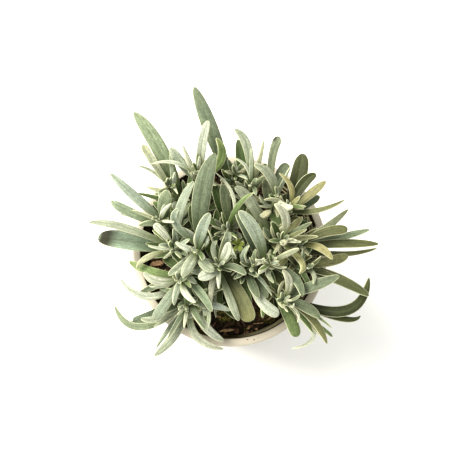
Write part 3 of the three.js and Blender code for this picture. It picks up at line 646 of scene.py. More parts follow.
class Growth:
    # collects the blades, stems and buds of one piece, with what the felt's material asks of each point

    def __init__(self):
        self.points, self.faces, self.count = [], [], 0
        self.values = {"tint": [], "lie": [], "along": [], "upper": [], "margin": [], "dark": []}

    def add(self, points, faces, **given):
        self.points.append(points)
        self.faces += [tuple(i + self.count for i in face) for face in faces]
        self.count += len(points)
        for name, values in self.values.items():
            value = np.asarray(given.get(name, 0.0), dtype=float)
            if value.ndim == 0 or value.shape == (4,):
                value = np.broadcast_to(value, (len(points), *value.shape))
            values.append(value)

    def piece(self, name):
        values = {key: np.concatenate(value) for key, value in self.values.items()}
        made = meshObject(name, np.concatenate(self.points), self.faces, values)
        made.data.materials.append(felt)
        return made


# stems and buds have no midrib: their points lie 2 mm aside of one
noRib = (2.0, 0.0, 0.0, 0.0)


def addBlade(growth, leaf, tint, steps, seed):
    across = leaf["across"]
    t = (1 - (1 - np.linspace(0, 1, steps)) ** leafShape["crowding"])[:-1]
    centre, side, up = bladeFrame(leaf, t)
    grown = outline(t, leaf["slender"])
    half = leaf["width"] / 2 * grown * (1 + leafShape["wave"] * np.sin(9 * t + 6.28 * draw(seed, 3)) * t)
    thick = min(leafShape["thickness"], leafShape["thickShare"] * leaf["width"] + leafShape["thinnest"])
    x = np.concatenate([across, across[-2:0:-1]])
    isTop = np.arange(len(x)) < len(across)
    # the blade is bent to an arc across: margins up where curl is below nought, down where it is above
    curl = leaf["curl"] if abs(leaf["curl"]) > leafShape["leastCurl"] else leafShape["leastCurl"]
    share = np.sin(x * curl) / math.sin(abs(curl)) * np.sign(curl)
    drop = (1 - np.cos(x * curl)) / math.sin(abs(curl)) * np.sign(curl)
    past = np.clip((np.abs(x) - leafShape["rollFrom"]) / leafShape["rollWidth"], 0, 1)
    groove = leafShape["groove"] * np.exp(-((x / leafShape["grooveWidth"]) ** 2))
    groove = groove * np.sin(math.pi * t)[:, None]
    rise = half[:, None] * (-drop - leafShape["rolled"] * past ** 2 - groove)
    body = thick / 2 * (1 - 0.4 * x ** 2) * np.where(isTop, 1, -1) * np.where(np.abs(x) == 1, 0, 1)
    rib = np.where(isTop, 0, -leafShape["rib"] * np.exp(-((x / leafShape["ribWidth"]) ** 2)))
    above = rise + (body + rib) * np.clip(grown * 1.6, 0.5, 1)[:, None]
    sideways = share[None, :] * half[:, None]
    points = centre[:, None, :] + sideways[..., None] * side[:, None, :] + above[..., None] * up[:, None, :]
    points = np.concatenate([points.reshape(-1, 3), leaf["tip"][None, :]])
    ring, rows = len(x), len(t)
    faces = [tuple(reversed(range(ring)))] + tubeFaces(rows, ring)
    faces += fanFaces((rows - 1) * ring, ring, len(points) - 1)
    # a brown spot is bare of wool
    near = np.clip(spotShape["full"] - np.abs(t - spotShape["along"]) / spotShape["reach"], 0, 1)
    spot = near[:, None] * np.clip(-spotShape["rise"] * x - spotShape["past"], 0, 1) * leaf["spot"]
    margin = half[:, None] * (1 - np.abs(x)) + spot
    dark = leaf["dark"] * np.clip((t - darkEnd["from"]) / darkEnd["over"], 0, 1)
    dark = dark * np.clip((1 - t) / darkEnd["tip"], 0, 1)
    dark = np.maximum(dark[:, None], spot)
    far = np.append(np.repeat(t, ring), 1.0)
    lie = np.zeros((len(points), 4))
    lie[:-1, 0] = (half[:, None] * x).ravel()
    lie[:, 1] = far * np.linalg.norm(leaf["tip"] - leaf["root"])
    lie[:, 2] = 40 * draw(seed, 14)
    growth.add(
        points, faces, tint=tint, lie=lie, along=leaf["young"] + (1 - leaf["young"]) * far,
        upper=np.append(np.tile(isTop, rows), 1.0), margin=np.append(margin, 0.0), dark=np.append(dark, 0.0))


def addStem(growth, shoot):
    sides = stemShape["sides"]
    line = shoot["line"]
    buried = [line[0] - [0, 0, stemShape["socket"] * (1 - s)] for s in (0, 0.5)]
    path = np.concatenate([buried, onLine(line, np.linspace(0, 1, stemShape["stations"]))])
    tangent = unit(np.gradient(path, axis=0))
    side = unit(np.cross(tangent, np.array([0.0, 1.0, 0.0])))
    forward = np.cross(side, tangent)
    angle = fullTurn * np.arange(sides) / sides
    square = 1 + stemShape["squareness"] * np.cos(4 * angle)
    share = np.linspace(0, 1, len(path))
    radius = between((stemShape["radius"], stemShape["headRadius"]), share)
    ringAt = radius[:, None] * square[None, :]
    points = (
        path[:, None, :]
        + (ringAt * np.cos(angle))[..., None] * side[:, None, :]
        + (ringAt * np.sin(angle))[..., None] * forward[:, None, :]
    ).reshape(-1, 3)
    faces = [tuple(reversed(range(sides))), tuple((len(path) - 1) * sides + k for k in range(sides))]
    low, high = (np.array(linear(stemShape[end])) * toneRule["share"] for end in ("woody", "green"))
    blend = np.repeat(np.clip(share * 1.6, 0, 1), sides)[:, None]
    growth.add(
        points, faces + tubeFaces(len(path), sides), tint=low + (high - low) * blend, lie=noRib, along=0.5,
        upper=1.0, margin=1.0)


# a closed bud: a rounded body, lower at its crease, this long, wide and high and turned this many degrees
def addBud(growth, place, size, tint):
    shape = bmesh.new()
    bmesh.ops.create_icosphere(shape, subdivisions=3, radius=0.5)
    turn = math.radians(size[3])
    points = []
    for vertex in shape.verts:
        x, y, z = vertex.co
        crease = 0.12 * math.exp(-((y / 0.12) ** 2)) if z > 0 else 0.0
        narrow = 1 - 0.5 * max(0.0, x + 0.1)
        x, y, z = x * size[0], y * size[1] * narrow, (z - crease) * size[2]
        points.append((x * math.cos(turn) - y * math.sin(turn), x * math.sin(turn) + y * math.cos(turn), z))
    faces = [tuple(v.index for v in face.verts) for face in shape.faces]
    shape.free()
    growth.add(np.array(points) + place, faces, tint=tint, lie=noRib, along=0.8, upper=1.0, margin=1.0)


# a few-sided copy of a blade, to test what it meets: this much larger all round, from this share of it on
def coarseBlade(leaf, extra=0.0, start=0.0):
    t = np.unique(np.maximum([0.0, 0.3, 0.6, 0.85, 0.95], start))
    centre, side, up = bladeFrame(leaf, t)
    aside = side * (leaf["width"] / 2 * outline(t) + extra)[:, None]
    lift = up * (leafShape["foldUp"] * leaf["width"] * outline(t))[:, None]
    thick = up * (0.5 + extra)
    corners = [centre - aside + lift, centre + thick, centre + aside + lift, centre - thick]
    points = np.concatenate([np.stack(corners, axis=1).reshape(-1, 3), leaf["tip"][None, :]])
    faces = tubeFaces(len(t), 4) + fanFaces((len(t) - 1) * 4, 4, len(points) - 1) + [(0, 3, 2, 1)]
    return treeOf(points, faces)


def treeOf(points, faces):
    return BVHTree.FromPolygons([tuple(p) for p in points], faces), points.min(0), points.max(0)


def meets(tree, other):
    if np.any(tree[1] > other[2]) or np.any(tree[2] < other[1]):
        return False
    return bool(tree[0].overlap(other[0]))


# lower, older leaves are a darker green, higher ones paler with wool, and the right-hand side is more olive;
# both the low darkness and the olive right side are partly painted shade
def toneOf(height, x, seed):
    share = (height - soilTop) / toneRule["height"] + toneRule["jitter"] * (draw(seed, 1) - 0.5)
    names = toneRule["right"] if x > toneRule["rightFrom"] else toneRule["left"]
    return names[int(np.clip(share * len(names), 0, len(names) - 1))]


# a tone's own colour for one leaf; the fourth channel says how far its tip has ripened
def varied(name, seed):
    colour = np.array(linear(tones[name])) * toneRule["share"]
    change = 1 + toneRule["spread"] * (draw(seed, 5) - 0.5)
    warm = toneRule["warmth"] * (draw(seed, 6) - 0.5)
    colour[:3] *= np.array([0.96 * change + warm, change, 0.98 * change - warm])
    colour[3] = toneRule["ripe" if name in toneRule["ripening"] else "unripe"] * draw(seed, 7)
    return colour


def nodePoints(name):
    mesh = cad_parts[name].data
    points = np.empty(len(mesh.vertices) * 3, dtype=np.float32)
    mesh.vertices.foreach_get("co", points)
    tree = kdtree.KDTree(len(mesh.vertices))
    for i, point in enumerate(points.reshape(-1, 3) / mm):
        tree.insert(point, i)
    tree.balance()
    return tree


# the leaf as the part holds it: as the first try whose tip is a corner of the solid shoot
def placedLeaf(shoot, make):
    tolerance = 0.03
    for attempt in range(len(heightTries)):
        leaf = make(attempt)
        if shoot["corners"].find(leaf["tip"])[2] < tolerance:
            return leaf
    return None


# how curled, twisted and slender blades are under this many millimetres wide, and from there on
smallBlade = {"under": 4.6, "curl": (0.4, 1.2), "twist": (-0.45, 0.45), "slender": 1.0}
largeBlade = {"curl": (-0.55, 0.5), "twist": (-0.22, 0.22), "slender": 0.5}


# give a leaf that the part holds its tone and finer shape; a capital tone means a round end, and N a dark one
def dressLeaf(leaf, tone, seed):
    blade = smallBlade if leaf["width"] < smallBlade["under"] else largeBlade
    leaf["seed"] = seed
    leaf["tone"] = (tone or toneOf(leaf["tip"][2], leaf["tip"][0], seed)).lower()
    bendLeaf(leaf, blade["curl"], blade["twist"], 11)
    leaf["slender"] = blade["slender"]
    if tone == "N":
        leaf.update(dark=1.0, slender=0.1)
    elif tone and tone.isupper():
        leaf["slender"] = -1.0
    if leaf["across"] is acrossSmall:
        leaf["width"] *= tuftLeaf["wider"]
        leaf["arch"] *= tuftLeaf["higher"]
        leaf["young"] = tuftLeaf["young"]


def gatherShoots():
    gathered = []
    for number, (headSeen, foot, tuft, rows) in enumerate(shootRows):
        head = seenAt(*headSeen)
        name = f"shoot_{number + 1:02d}"
        shoot = {"number": number, "name": name, "head": head, "line": stemLine(foot, head),
                 "corners": nodePoints(name), "leaves": []}
        kinds = [(lambda k, r=r: seenLeaf(shoot, r, k), r[6], acrossFine) for r in rows]
        for i in range(tuft):
            kinds.append((lambda k, i=i: ruledLeaf(shoot, tuftLeaf, i, k), "gms"[i % 3], acrossSmall))
        for i in range(lowerLeaf["count"]):
            kinds.append((lambda k, i=i: ruledLeaf(shoot, lowerLeaf, i, k), None, acrossFine))
        for make, tone, across in kinds:
            leaf = placedLeaf(shoot, make)
            if leaf is None:
                print("leaf not in", name, tone)
                continue
            leaf["across"] = across
            dressLeaf(leaf, tone, 1000 + 40 * number + len(shoot["leaves"]))
            shoot["leaves"].append(leaf)
        gathered.append(shoot)
    number, place = spottedLeaf
    gathered[number - 1]["leaves"][place - 1]["spot"] = 1.0
    return gathered


shoots = gatherShoots()
print("leaves found in the part:", sum(len(s["leaves"]) for s in shoots))


def addYoungLeaves():
    for number, rows in youngRows.items():
        shoot = shoots[number - 1]
        for row in rows:
            leaf = seenLeaf(shoot, row, 0)
            leaf.update(tone=row[6], seed=5000 + 40 * number + len(shoot["leaves"]), slender=0.8, young=0.3)
            bendLeaf(leaf, (0.4, 1.1), (-0.4, 0.4), 11)
            shoot["leaves"].append(leaf)


addYoungLeaves()

# young side leaves that fill each shoot, bent clear of what is there
sideLeaf = {"count": 20, "length": (9, 24), "width": (2.2, 4.8), "steepness": (12, 60), "between": (0.1, 0.8),
            "arch": (0.04, 0.2), "bow": 0.22, "roll": 0.8, "turn": 137.5, "shootTurn": 51, "spread": 90,
            "curl": (-0.9, 1.2), "twist": (-0.6, 0.6), "slender": 1.0, "young": 0.1, "paler": 8,
            "rimGap": 4, "overRim": 3, "clearance": 0.25, "rootShare": 0.35, "tries": 9}


def tryLeaf(shoot, place, attempt):
    seed = 7000 + 97 * shoot["number"] + 11 * place
    turn = sideLeaf["turn"] * place + sideLeaf["shootTurn"] * shoot["number"]
    turn += sideLeaf["spread"] * draw(seed, 3 * attempt)
    steep = math.radians(between(sideLeaf["steepness"], draw(seed, 40 + attempt)))
    share = (place + draw(seed, 60)) / sideLeaf["count"]
    length = between(sideLeaf["length"], draw(seed, 70 + attempt))
    low = soilTop + stemShape["upright"]
    root = stemAt(shoot["line"], low + (shoot["head"][2] - low) * between(sideLeaf["between"], share))
    return newLeaf(
        root, leafEnd(root, length, math.radians(turn), steep), between(sideLeaf["width"], draw(seed, 80)),
        seed=seed, bow=sideLeaf["bow"] * length * (draw(seed, 90) - 0.5),
        arch=between(sideLeaf["arch"], draw(seed, 94)) * length,
        roll=sideLeaf["roll"] * (draw(seed, 91) - 0.5), slender=sideLeaf["slender"], young=sideLeaf["young"])


# a leaf stays if it clears the pot's rim, the other shoots and, past its root, the leaves of its own
def hasRoom(leaf, shoot, obstacles):
    x, y, z = leaf["tip"]
    if math.hypot(x, y) > rimRadius - sideLeaf["rimGap"] and z < rimHeight + sideLeaf["overRim"]:
        return False
    whole = coarseBlade(leaf, sideLeaf["clearance"])
    if any(meets(whole, shape) for owner, shape, _ in obstacles if owner is not shoot):
        return False
    outer = coarseBlade(leaf, start=sideLeaf["rootShare"])
    return not any(meets(outer, part) for owner, _, part in obstacles if owner is shoot and part)


def addSideLeaves():
    # each obstacle: the shoot that it belongs to, its whole shape, and the part of it past its root
    obstacles = []
    for shoot in shoots:
        for leaf in shoot["leaves"]:
            obstacles.append((shoot, coarseBlade(leaf), coarseBlade(leaf, start=0.3)))
        stem = Growth()
        addStem(stem, shoot)
        obstacles.append((shoot, treeOf(stem.points[0], stem.faces), None))
    added = 0
    for shoot in shoots:
        for place in range(sideLeaf["count"]):
            for attempt in range(sideLeaf["tries"]):
                leaf = tryLeaf(shoot, place, attempt)
                if not hasRoom(leaf, shoot, obstacles):
                    continue
                # the part past its root is kept as it was before its twist
                outer = coarseBlade(leaf, start=sideLeaf["rootShare"])
                # the tone by height and side carries painted shade; side leaves take it as if this much
                # higher
                leaf["tone"] = toneOf(leaf["tip"][2] + sideLeaf["paler"], leaf["tip"][0], leaf["seed"])
                bendLeaf(leaf, sideLeaf["curl"], sideLeaf["twist"], 92)
                shoot["leaves"].append(leaf)
                obstacles.append((shoot, coarseBlade(leaf), outer))
                added += 1
                break
    print("side leaves added:", added)


addSideLeaves()


# a side sprig: a stalk from the shoot's stem, and at its end a bud or a few leaves
def addSprig(growth, shoot, sprig):
    place = seenAt(*sprig["at"])
    seed = 9000 + int(10 * sprig["at"][0])
    foot = stemAt(shoot["line"], rimHeight + sprig["from"])
    stalk = newLeaf(foot, place, 1.3, arch=0.8, curl=1.3, young=0.3)
    addBlade(growth, stalk, varied("m", seed), 8, seed)
    if sprig["bud"]:
        addBud(growth, place, sprig["bud"], varied(sprig["tone"], seed + 1))
    for i, (x, y, rise, width) in enumerate(sprig["leaves"]):
        tip = seenAt(x, y, rise)
        leaf = newLeaf(
            place, tip, width * viewScale(tip), bow=0.3, arch=0.14 * np.linalg.norm(tip - place), twist=0.3,
            curl=0.7, slender=-0.3, young=0.35)
        addBlade(growth, leaf, varied(sprig["tone"], seed + i), leafShape["smallSteps"], seed + i)


for shoot in shoots:
    growth = Growth()
    addStem(growth, shoot)
    for leaf in shoot["leaves"]:
        steps = leafShape["steps" if leaf["across"] is acrossFine else "smallSteps"]
        addBlade(growth, leaf, varied(leaf["tone"], leaf["seed"]), steps, leaf["seed"])
    for sprig in sprigRows:
        if sprig["shoot"] == shoot["number"] + 1:
            addSprig(growth, shoot, sprig)
    finishPiece(growth.piece("leafyShoot_" + shoot["name"][-2:]), "foliage", shoot["name"])
print("shoots grown")


# pot

potShape = {"segments": 144, "holes": 6, "holeRadius": 4, "holeSides": 32, "holeCircle": 33, "floor": 2.2}
# radius and height from the base's centre, out and up the outside and over the rim to the lip's inner edge
potOutside = [
    (0, 0), (30, 0), (44, 0), (46, 0.15), (46.8, 0.7), (47.1, 1.6), (48.5, 12), (60.4, 100.6), (60.9, 102.4),
    (61.3, 103), (63.2, 103), (63.55, 103.3), (63.65, 104), (64.4, 109.6), (64.9, 110.6), (64.8, 111.3),
    (64.2, 111.8), (63.2, 112), (60.6, 111.95), (60.0, 111.75), (59.7, 111.3),
]
# and down the inside, over the stacking ledges, to the floor
potInside = [
    (59.5, 109.2), (59.4, 108.9), (58.9, 108.7), (58.75, 108.4), (58.6, 105.8), (58.5, 105.5), (57.5, 105.2),
    (57.35, 104.9), (57.2, 102.3), (57.1, 102), (56.3, 101.7), (56.15, 101.4), (55.4, 95), (49, 30),
    (45.6, 3.6), (45.2, 2.6), (44, 2.2), (30, 2.2), (0, 2.2),
]
# the rows of the inside that cross the ledges' tops
ledgeRows = (5, 6, 9, 10)


def makePot():
    count = potShape["segments"]
    profile = potOutside + potInside
    insideFrom = len(potOutside) - 1
    points, faces, finishes, starts = [], [], [], []
    for radius, z in profile:
        starts.append(len(points))
        angles = fullTurn * np.arange(count if radius else 1) / count
        points += [(radius * math.cos(a), radius * math.sin(a), z) for a in angles]
    for row in range(len(profile) - 1):
        a, b = starts[row], starts[row + 1]
        inner = row - insideFrom
        for k in range(count):
            n = (k + 1) % count
            if profile[row][0] == 0:
                faces.append((a, b + n, b + k))
            elif profile[row + 1][0] == 0:
                faces.append((a + k, a + n, b))
            else:
                faces.append((a + k, a + n, b + n, b + k))
            finishes.append(0 if inner < 0 else 2 if inner in ledgeRows else 1)
    pot = meshObject("growerPot", points, faces)
    pot.data.polygons.foreach_set("material_index", finishes)
    for finish in (potBeige, potDark, potLedge):
        pot.data.materials.append(finish)
    return drillHoles(pot)


# the drainage holes, cut through the floor
def drillHoles(pot):
    drills = bmesh.new()
    radius = potShape["holeRadius"] * mm
    for i in range(potShape["holes"]):
        turn = fullTurn * (i + 0.5) / potShape["holes"]
        place = Vector((math.cos(turn), math.sin(turn), 0)) * potShape["holeCircle"] * mm
        bmesh.ops.create_cone(
            drills, cap_ends=True, segments=potShape["holeSides"], radius1=radius, radius2=radius,
            depth=4 * potShape["floor"] * mm, matrix=Matrix.Translation(place))
    tool = objectOf("drills", drills)
    cut = pot.modifiers.new("holes", "BOOLEAN")
    cut.object = tool
    cut.solver = "EXACT"
    drilled = bakedMesh(pot)
    pot.modifiers.remove(cut)
    pot.data = drilled
    bpy.data.objects.remove(tool)
    return pot


pot = makePot()
finishPiece(pot, "pot", "pot")
print("pot made")


# compost

soilShape = {"radius": 55.2, "bottomRadius": 44.6, "bottom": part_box("soil")[0].z / mm, "rings": 46,
             "segments": 110, "waves": 1.5, "lumps": 0.9}
# moss grows round these places of the view, so many of its units out
mossSpots = [(227, 314, 13), (163, 289, 5), (268, 312, 13), (308, 222, 5)]


# the compost's surface at x and y: long waves, shorter ones across them, and lumps
def soilHeight(x, y):
    coarse = math.sin(x * 0.16 + 0.6) * math.cos(y * 0.19 - 0.4)
    fine = math.sin(x * 0.53 + y * 0.31) * math.sin(y * 0.47 - x * 0.12 + 1.3)
    lumps = noise.fractal(Vector((x, y, 3.0)) * 0.28, 1.0, 2.0, 4)
    return soilTop + soilShape["waves"] * (0.65 * coarse + 0.45 * fine) + soilShape["lumps"] * lumps


def makeSoil():
    rings, count = soilShape["rings"], soilShape["segments"]
    angles = fullTurn * np.arange(count) / count
    points = [(0, 0, soilHeight(0, 0))]
    for ring in range(1, rings + 1):
        radius = soilShape["radius"] * ring / rings
        for a in angles:
            x, y = radius * math.cos(a), radius * math.sin(a)
            points.append((x, y, soilHeight(x, y)))
    low = len(points)
    under = soilShape["bottomRadius"]
    points += [(under * math.cos(a), under * math.sin(a), soilShape["bottom"]) for a in angles]
    points.append((0, 0, soilShape["bottom"]))
    faces = []
    for k in range(count):
        n = (k + 1) % count
        faces.append((0, 1 + k, 1 + n))
        for ring in range(rings - 1):
            a = 1 + ring * count
            faces.append((a + k, a + count + k, a + count + n, a + n))
        a = 1 + (rings - 1) * count
        faces.append((a + k, low + k, low + n, a + n))
        faces.append((len(points) - 1, low + n, low + k))
    mossy = np.zeros(len(points))
    for x, y, reach in mossSpots:
        middle = seenAt(x, y, soilTop - rimHeight)
        away = np.linalg.norm((np.array(points) - middle)[:, :2], axis=1)
        mossy = np.maximum(mossy, 1 - away / (reach * viewScale(middle)))
    soil = meshObject("compost", points, faces, {"mossy": mossy})
    soil.data.materials.append(peat)
    return soil


soil = makeSoil()
finishPiece(soil, "soil", "soil")
print("soil made")


# what repeats: crumbs, bark, twigs and moss on the compost, and the youngest leaves at each shoot's head


def startTree(name, sizes):
    tree = bpy.data.node_groups.new(name, "GeometryNodeTree")
    tree.interface.new_socket("Geometry", in_out="INPUT", socket_type="NodeSocketGeometry")
    for label, value in sizes.items():
        kind = "NodeSocketInt" if isinstance(value, int) else "NodeSocketFloat"
        tree.interface.new_socket(label, in_out="INPUT", socket_type=kind).default_value = value
    tree.interface.new_socket("Geometry", in_out="OUTPUT", socket_type="NodeSocketGeometry")
    return tree, addNode(tree, "NodeGroupInput").outputs


def endTree(tree, instances, finish):
    realised = addNode(tree, "GeometryNodeRealizeInstances", {"Geometry": instances})
    shaded = addNode(tree, "GeometryNodeSetMaterial", {"Geometry": realised, "Material": finish})
    addNode(tree, "NodeGroupOutput", {0: shaded})


# run a tree on a carrier mesh and keep what it makes as a plain mesh
def bakeTree(name, carrier, tree, sizes):
    modifier = carrier.modifiers.new(tree.name, "NODES")
    modifier.node_group = tree
    for item in tree.interface.items_tree:
        if item.in_out == "INPUT" and item.name in sizes:
            modifier[item.identifier] = sizes[item.name]
    made = addObject(name, bakedMesh(carrier))
    carrier.modifiers.remove(modifier)
    return made


def scatterTree(name, grain, finish, sizes, area=None):
    tree, given = startTree(name, sizes)
    where = addNode(tree, "GeometryNodeInputPosition")
    level = addNode(tree, "ShaderNodeSeparateXYZ", {0: where})
    # a whole face of the carrier is on top if its middle is less than 6 mm under the mean surface
    middle = addNode(
        tree, "GeometryNodeFieldOnDomain", {0: level.outputs[2]}, data_type="FLOAT", domain="FACE")
    isTop = addNode(tree, "FunctionNodeCompare", {0: middle, 1: (soilTop - 6) * mm}, operation="GREATER_THAN")
    # patches: grains grow only where a broad noise, with the area's own share added, is above the bareness
    height = addNode(tree, "ShaderNodeTexNoise", {"Vector": where, "Scale": given["Patchiness"]})
    if area:
        share = addNode(tree, "GeometryNodeInputNamedAttribute", {"Name": area}, data_type="FLOAT")
        height = addNode(tree, "ShaderNodeMath", {0: height, 1: share}, operation="ADD")
    isPatch = addNode(
        tree, "FunctionNodeCompare", {0: height, 1: given["Bareness"]}, operation="GREATER_THAN")
    chosen = addNode(tree, "FunctionNodeBooleanMath", {0: isTop, 1: isPatch}, operation="AND")
    spread = addNode(
        tree, "GeometryNodeDistributePointsOnFaces",
        {"Mesh": given["Geometry"], "Selection": chosen, "Density": given["Density"], "Seed": given["Seed"]})
    # grains lean up to 0.9 radians and are turned any way round
    turn = addNode(
        tree, "FunctionNodeRandomValue", {"Max": (0.9, 0.9, 6.283), "Seed": given["Seed"]},
        data_type="FLOAT_VECTOR")
    size = addNode(
        tree, "FunctionNodeRandomValue", {2: given["Smallest"], 3: given["Largest"], "Seed": given["Seed"]},
        data_type="FLOAT")
    shape = addNode(tree, "GeometryNodeObjectInfo", {"Object": grain})
    placed = addNode(
        tree, "GeometryNodeInstanceOnPoints",
        {"Points": spread, "Instance": shape.outputs["Geometry"], "Rotation": turn, "Scale": size})
    endTree(tree, placed, finish)
    return tree


# an uneven lump of a few dozen faces, this long, wide and high in millimetres
def lump(name, size, cuts, roughness, seed):
    shape = bmesh.new()
    bmesh.ops.create_icosphere(shape, subdivisions=cuts, radius=0.5)
    for vertex in shape.verts:
        shift = noise.noise(vertex.co * 3.1 + Vector((seed, 0, 0)))
        vertex.co *= 1 + roughness * shift
        vertex.co = Vector([c * s * mm for c, s in zip(vertex.co, size)])
    return objectOf(name, shape)


# how much a splinter's ends taper, how crooked and ragged it is, and how far its corners slide along it
splinterShape = {"stations": 5, "taper": 0.5, "crooked": 0.5, "ragged": 0.5, "slide": 0.14}


# a splinter or chip: a flat stick with ragged ends
def splinter(name, length, width, height, seed):
    points = []
    stations = splinterShape["stations"]
    for i in range(stations):
        x = (i / (stations - 1) - 0.5) * length
        taper = 1 - splinterShape["taper"] * abs(2 * i / (stations - 1) - 1) ** 3
        lift = splinterShape["crooked"] * height * (draw(seed, i) - 0.5)
        for k, (a, b) in enumerate(((-1, -1), (1, -1), (1, 1), (-1, 1))):
            ragged = 1 + splinterShape["ragged"] * (draw(seed, 10 * i + k) - 0.5)
            slid = x + splinterShape["slide"] * length * (ragged - 1)
            points.append((slid, a * width / 2 * taper * ragged, b * height / 2 * taper + lift))
    # the corners run round the other way than a tube's
    faces = [(a, d, c, b) for a, b, c, d in tubeFaces(stations, 4)]
    faces += [(0, 1, 2, 3), tuple(4 * (stations - 1) + k for k in (3, 2, 1, 0))]
    return meshObject(name, points, faces, smooth=False)


# moss: a cushion of short pointed leaflets, each a thin spike on three corners
def mossTuft(name):
    points, faces = [], []
    for i in range(14):
        turn, lean = 6.28 * draw(61, i), 0.75 * draw(62, i)
        out = np.array([math.cos(turn), math.sin(turn), 0])
        aside = np.array([-math.sin(turn), math.cos(turn), 0]) * 0.2
        foot = (0.5 * out - [0, 0, 0.2]) * lean
        top = foot + lean * out + [0, 0, 1.1 - 0.4 * lean]
        n = len(points)
        points += [foot - aside, foot + 0.2 * out, foot + aside, top]
        faces += [(n, n + 1, n + 3), (n + 1, n + 2, n + 3), (n + 2, n, n + 3), (n, n + 2, n + 1)]
    return meshObject(name, points, faces)


# the litter's layers: grains to a square metre, least and largest scale, seed, patches to a metre, bareness
litterInputs = ("Density", "Smallest", "Largest", "Seed", "Patchiness", "Bareness")
litter = {
    "crumbs": (90000.0, 0.5, 1.5, 3, 40.0, 0.0),
    "bark": (26000.0, 0.25, 0.8, 8, 60.0, 0.4),
    "palebark": (11000.0, 0.2, 0.7, 21, 60.0, 0.38),
    "twigs": (3000.0, 0.4, 1.0, 5, 70.0, 0.4),
    "moss": (160000.0, 1.0, 2.2, 11, 220.0, 0.72),
}
grains = {
    "crumbs": (lump("crumb", (1.9, 1.5, 1.2), 1, 0.9, 4.0), peat),
    "bark": (splinter("barkChip", 7.5, 3.4, 1.5, 31), bark),
    "palebark": (splinter("paleChip", 6.0, 2.4, 1.1, 47), paleBark),
    "twigs": (splinter("twig", 10, 0.9, 0.7, 77), paleBark),
    "moss": (mossTuft("mossTuft"), moss),
}
for name, (grain, finish) in grains.items():
    sizes = dict(zip(litterInputs, litter[name]))
    tree = scatterTree(name, grain, finish, sizes, "mossy" if name == "moss" else None)
    layer = bakeTree("compost_" + name, soil, tree, sizes)
    bpy.data.objects.remove(grain)
    finishPiece(layer, "soil")
    print("scattered", name, len(layer.data.polygons))


# chips and sticks that lie where the photograph shows them: x, y, turn, length, width, thickness, matter
chipRows = [
    (227, 330.5, 6, 9.5, 1.7, 1.4, "pale"), (237, 330.5, 70, 4.0, 3.2, 2.4, "brown"),
    (214.5, 324.5, 62, 3.6, 1.2, 1.0, "brown"), (227, 325.5, 32, 7.0, 0.7, 0.8, "brown"),
    (243.5, 323.5, -50, 4.6, 2.0, 1.8, "brown"), (258, 323.5, 6, 6.5, 0.9, 0.9, "pale"),
    (248.5, 327.5, 40, 2.8, 1.6, 1.4, "pale"), (255.5, 305, -70, 6.0, 3.2, 2.0, "brown"),
    (203, 330.5, -25, 4.0, 2.4, 2.0, "brown"), (157, 264, 12, 10.0, 3.4, 2.2, "pale"),
    (153, 237, -35, 6.0, 3.0, 2.0, "brown"), (272, 317, 34, 8.0, 1.2, 1.0, "pale"),
    (262, 319, 24, 6.0, 1.4, 1.0, "brown"), (246, 333, 14, 4.5, 2.0, 1.4, "brown"),
]
# specks of dirt on the rim: x, y and half their length
speckRows = [(247.5, 339.5, 0.5), (254, 339.5, 0.55), (258, 337.5, 0.3)]


# a piece's mesh turned about the vertical and moved to a place in millimetres
def layAt(piece, place, turn):
    lay = Matrix.Translation(Vector(place) * mm) @ Matrix.Rotation(math.radians(turn), 4, "Z")
    piece.data.transform(lay)
    return piece


# the chips lie on the crumbs, 0.9 mm above the compost, and the specks on the rim
def layChips():
    for i, (x, y, turn, length, width, thick, matter) in enumerate(chipRows):
        place = seenAt(x, y, soilTop + 1 - rimHeight)
        place[2] = soilHeight(place[0], place[1]) + 0.9
        chip = layAt(splinter(f"chip_{i + 1:02d}", length, width, thick, 300 + 17 * i), place, turn)
        chip.data.materials.append(bark if matter == "brown" else paleBark)
        finishPiece(chip, "soil")
    for i, (x, y, half) in enumerate(speckRows):
        speck = lump(f"rimSpeck_{i + 1}", (2 * half, 1.4 * half, 0.8 * half), 2, 0.6, 5.0 + i)
        layAt(speck, seenAt(x, y, 0.05), 40 * i)
        speck.data.materials.append(bark)
        finishPiece(speck, "soil")
    print("chips laid:", len(chipRows))


layChips()


# the youngest leaves at each head: how many, their scales, tilts in radians, rise in metres and seed
headLeaflets = {
    "Leaflets": 3, "Longest": 0.6, "Shortest": 0.35, "Outer tilt": 1.1, "Inner tilt": 1.45, "Height": 2 * mm,
    "Seed": 17,
}


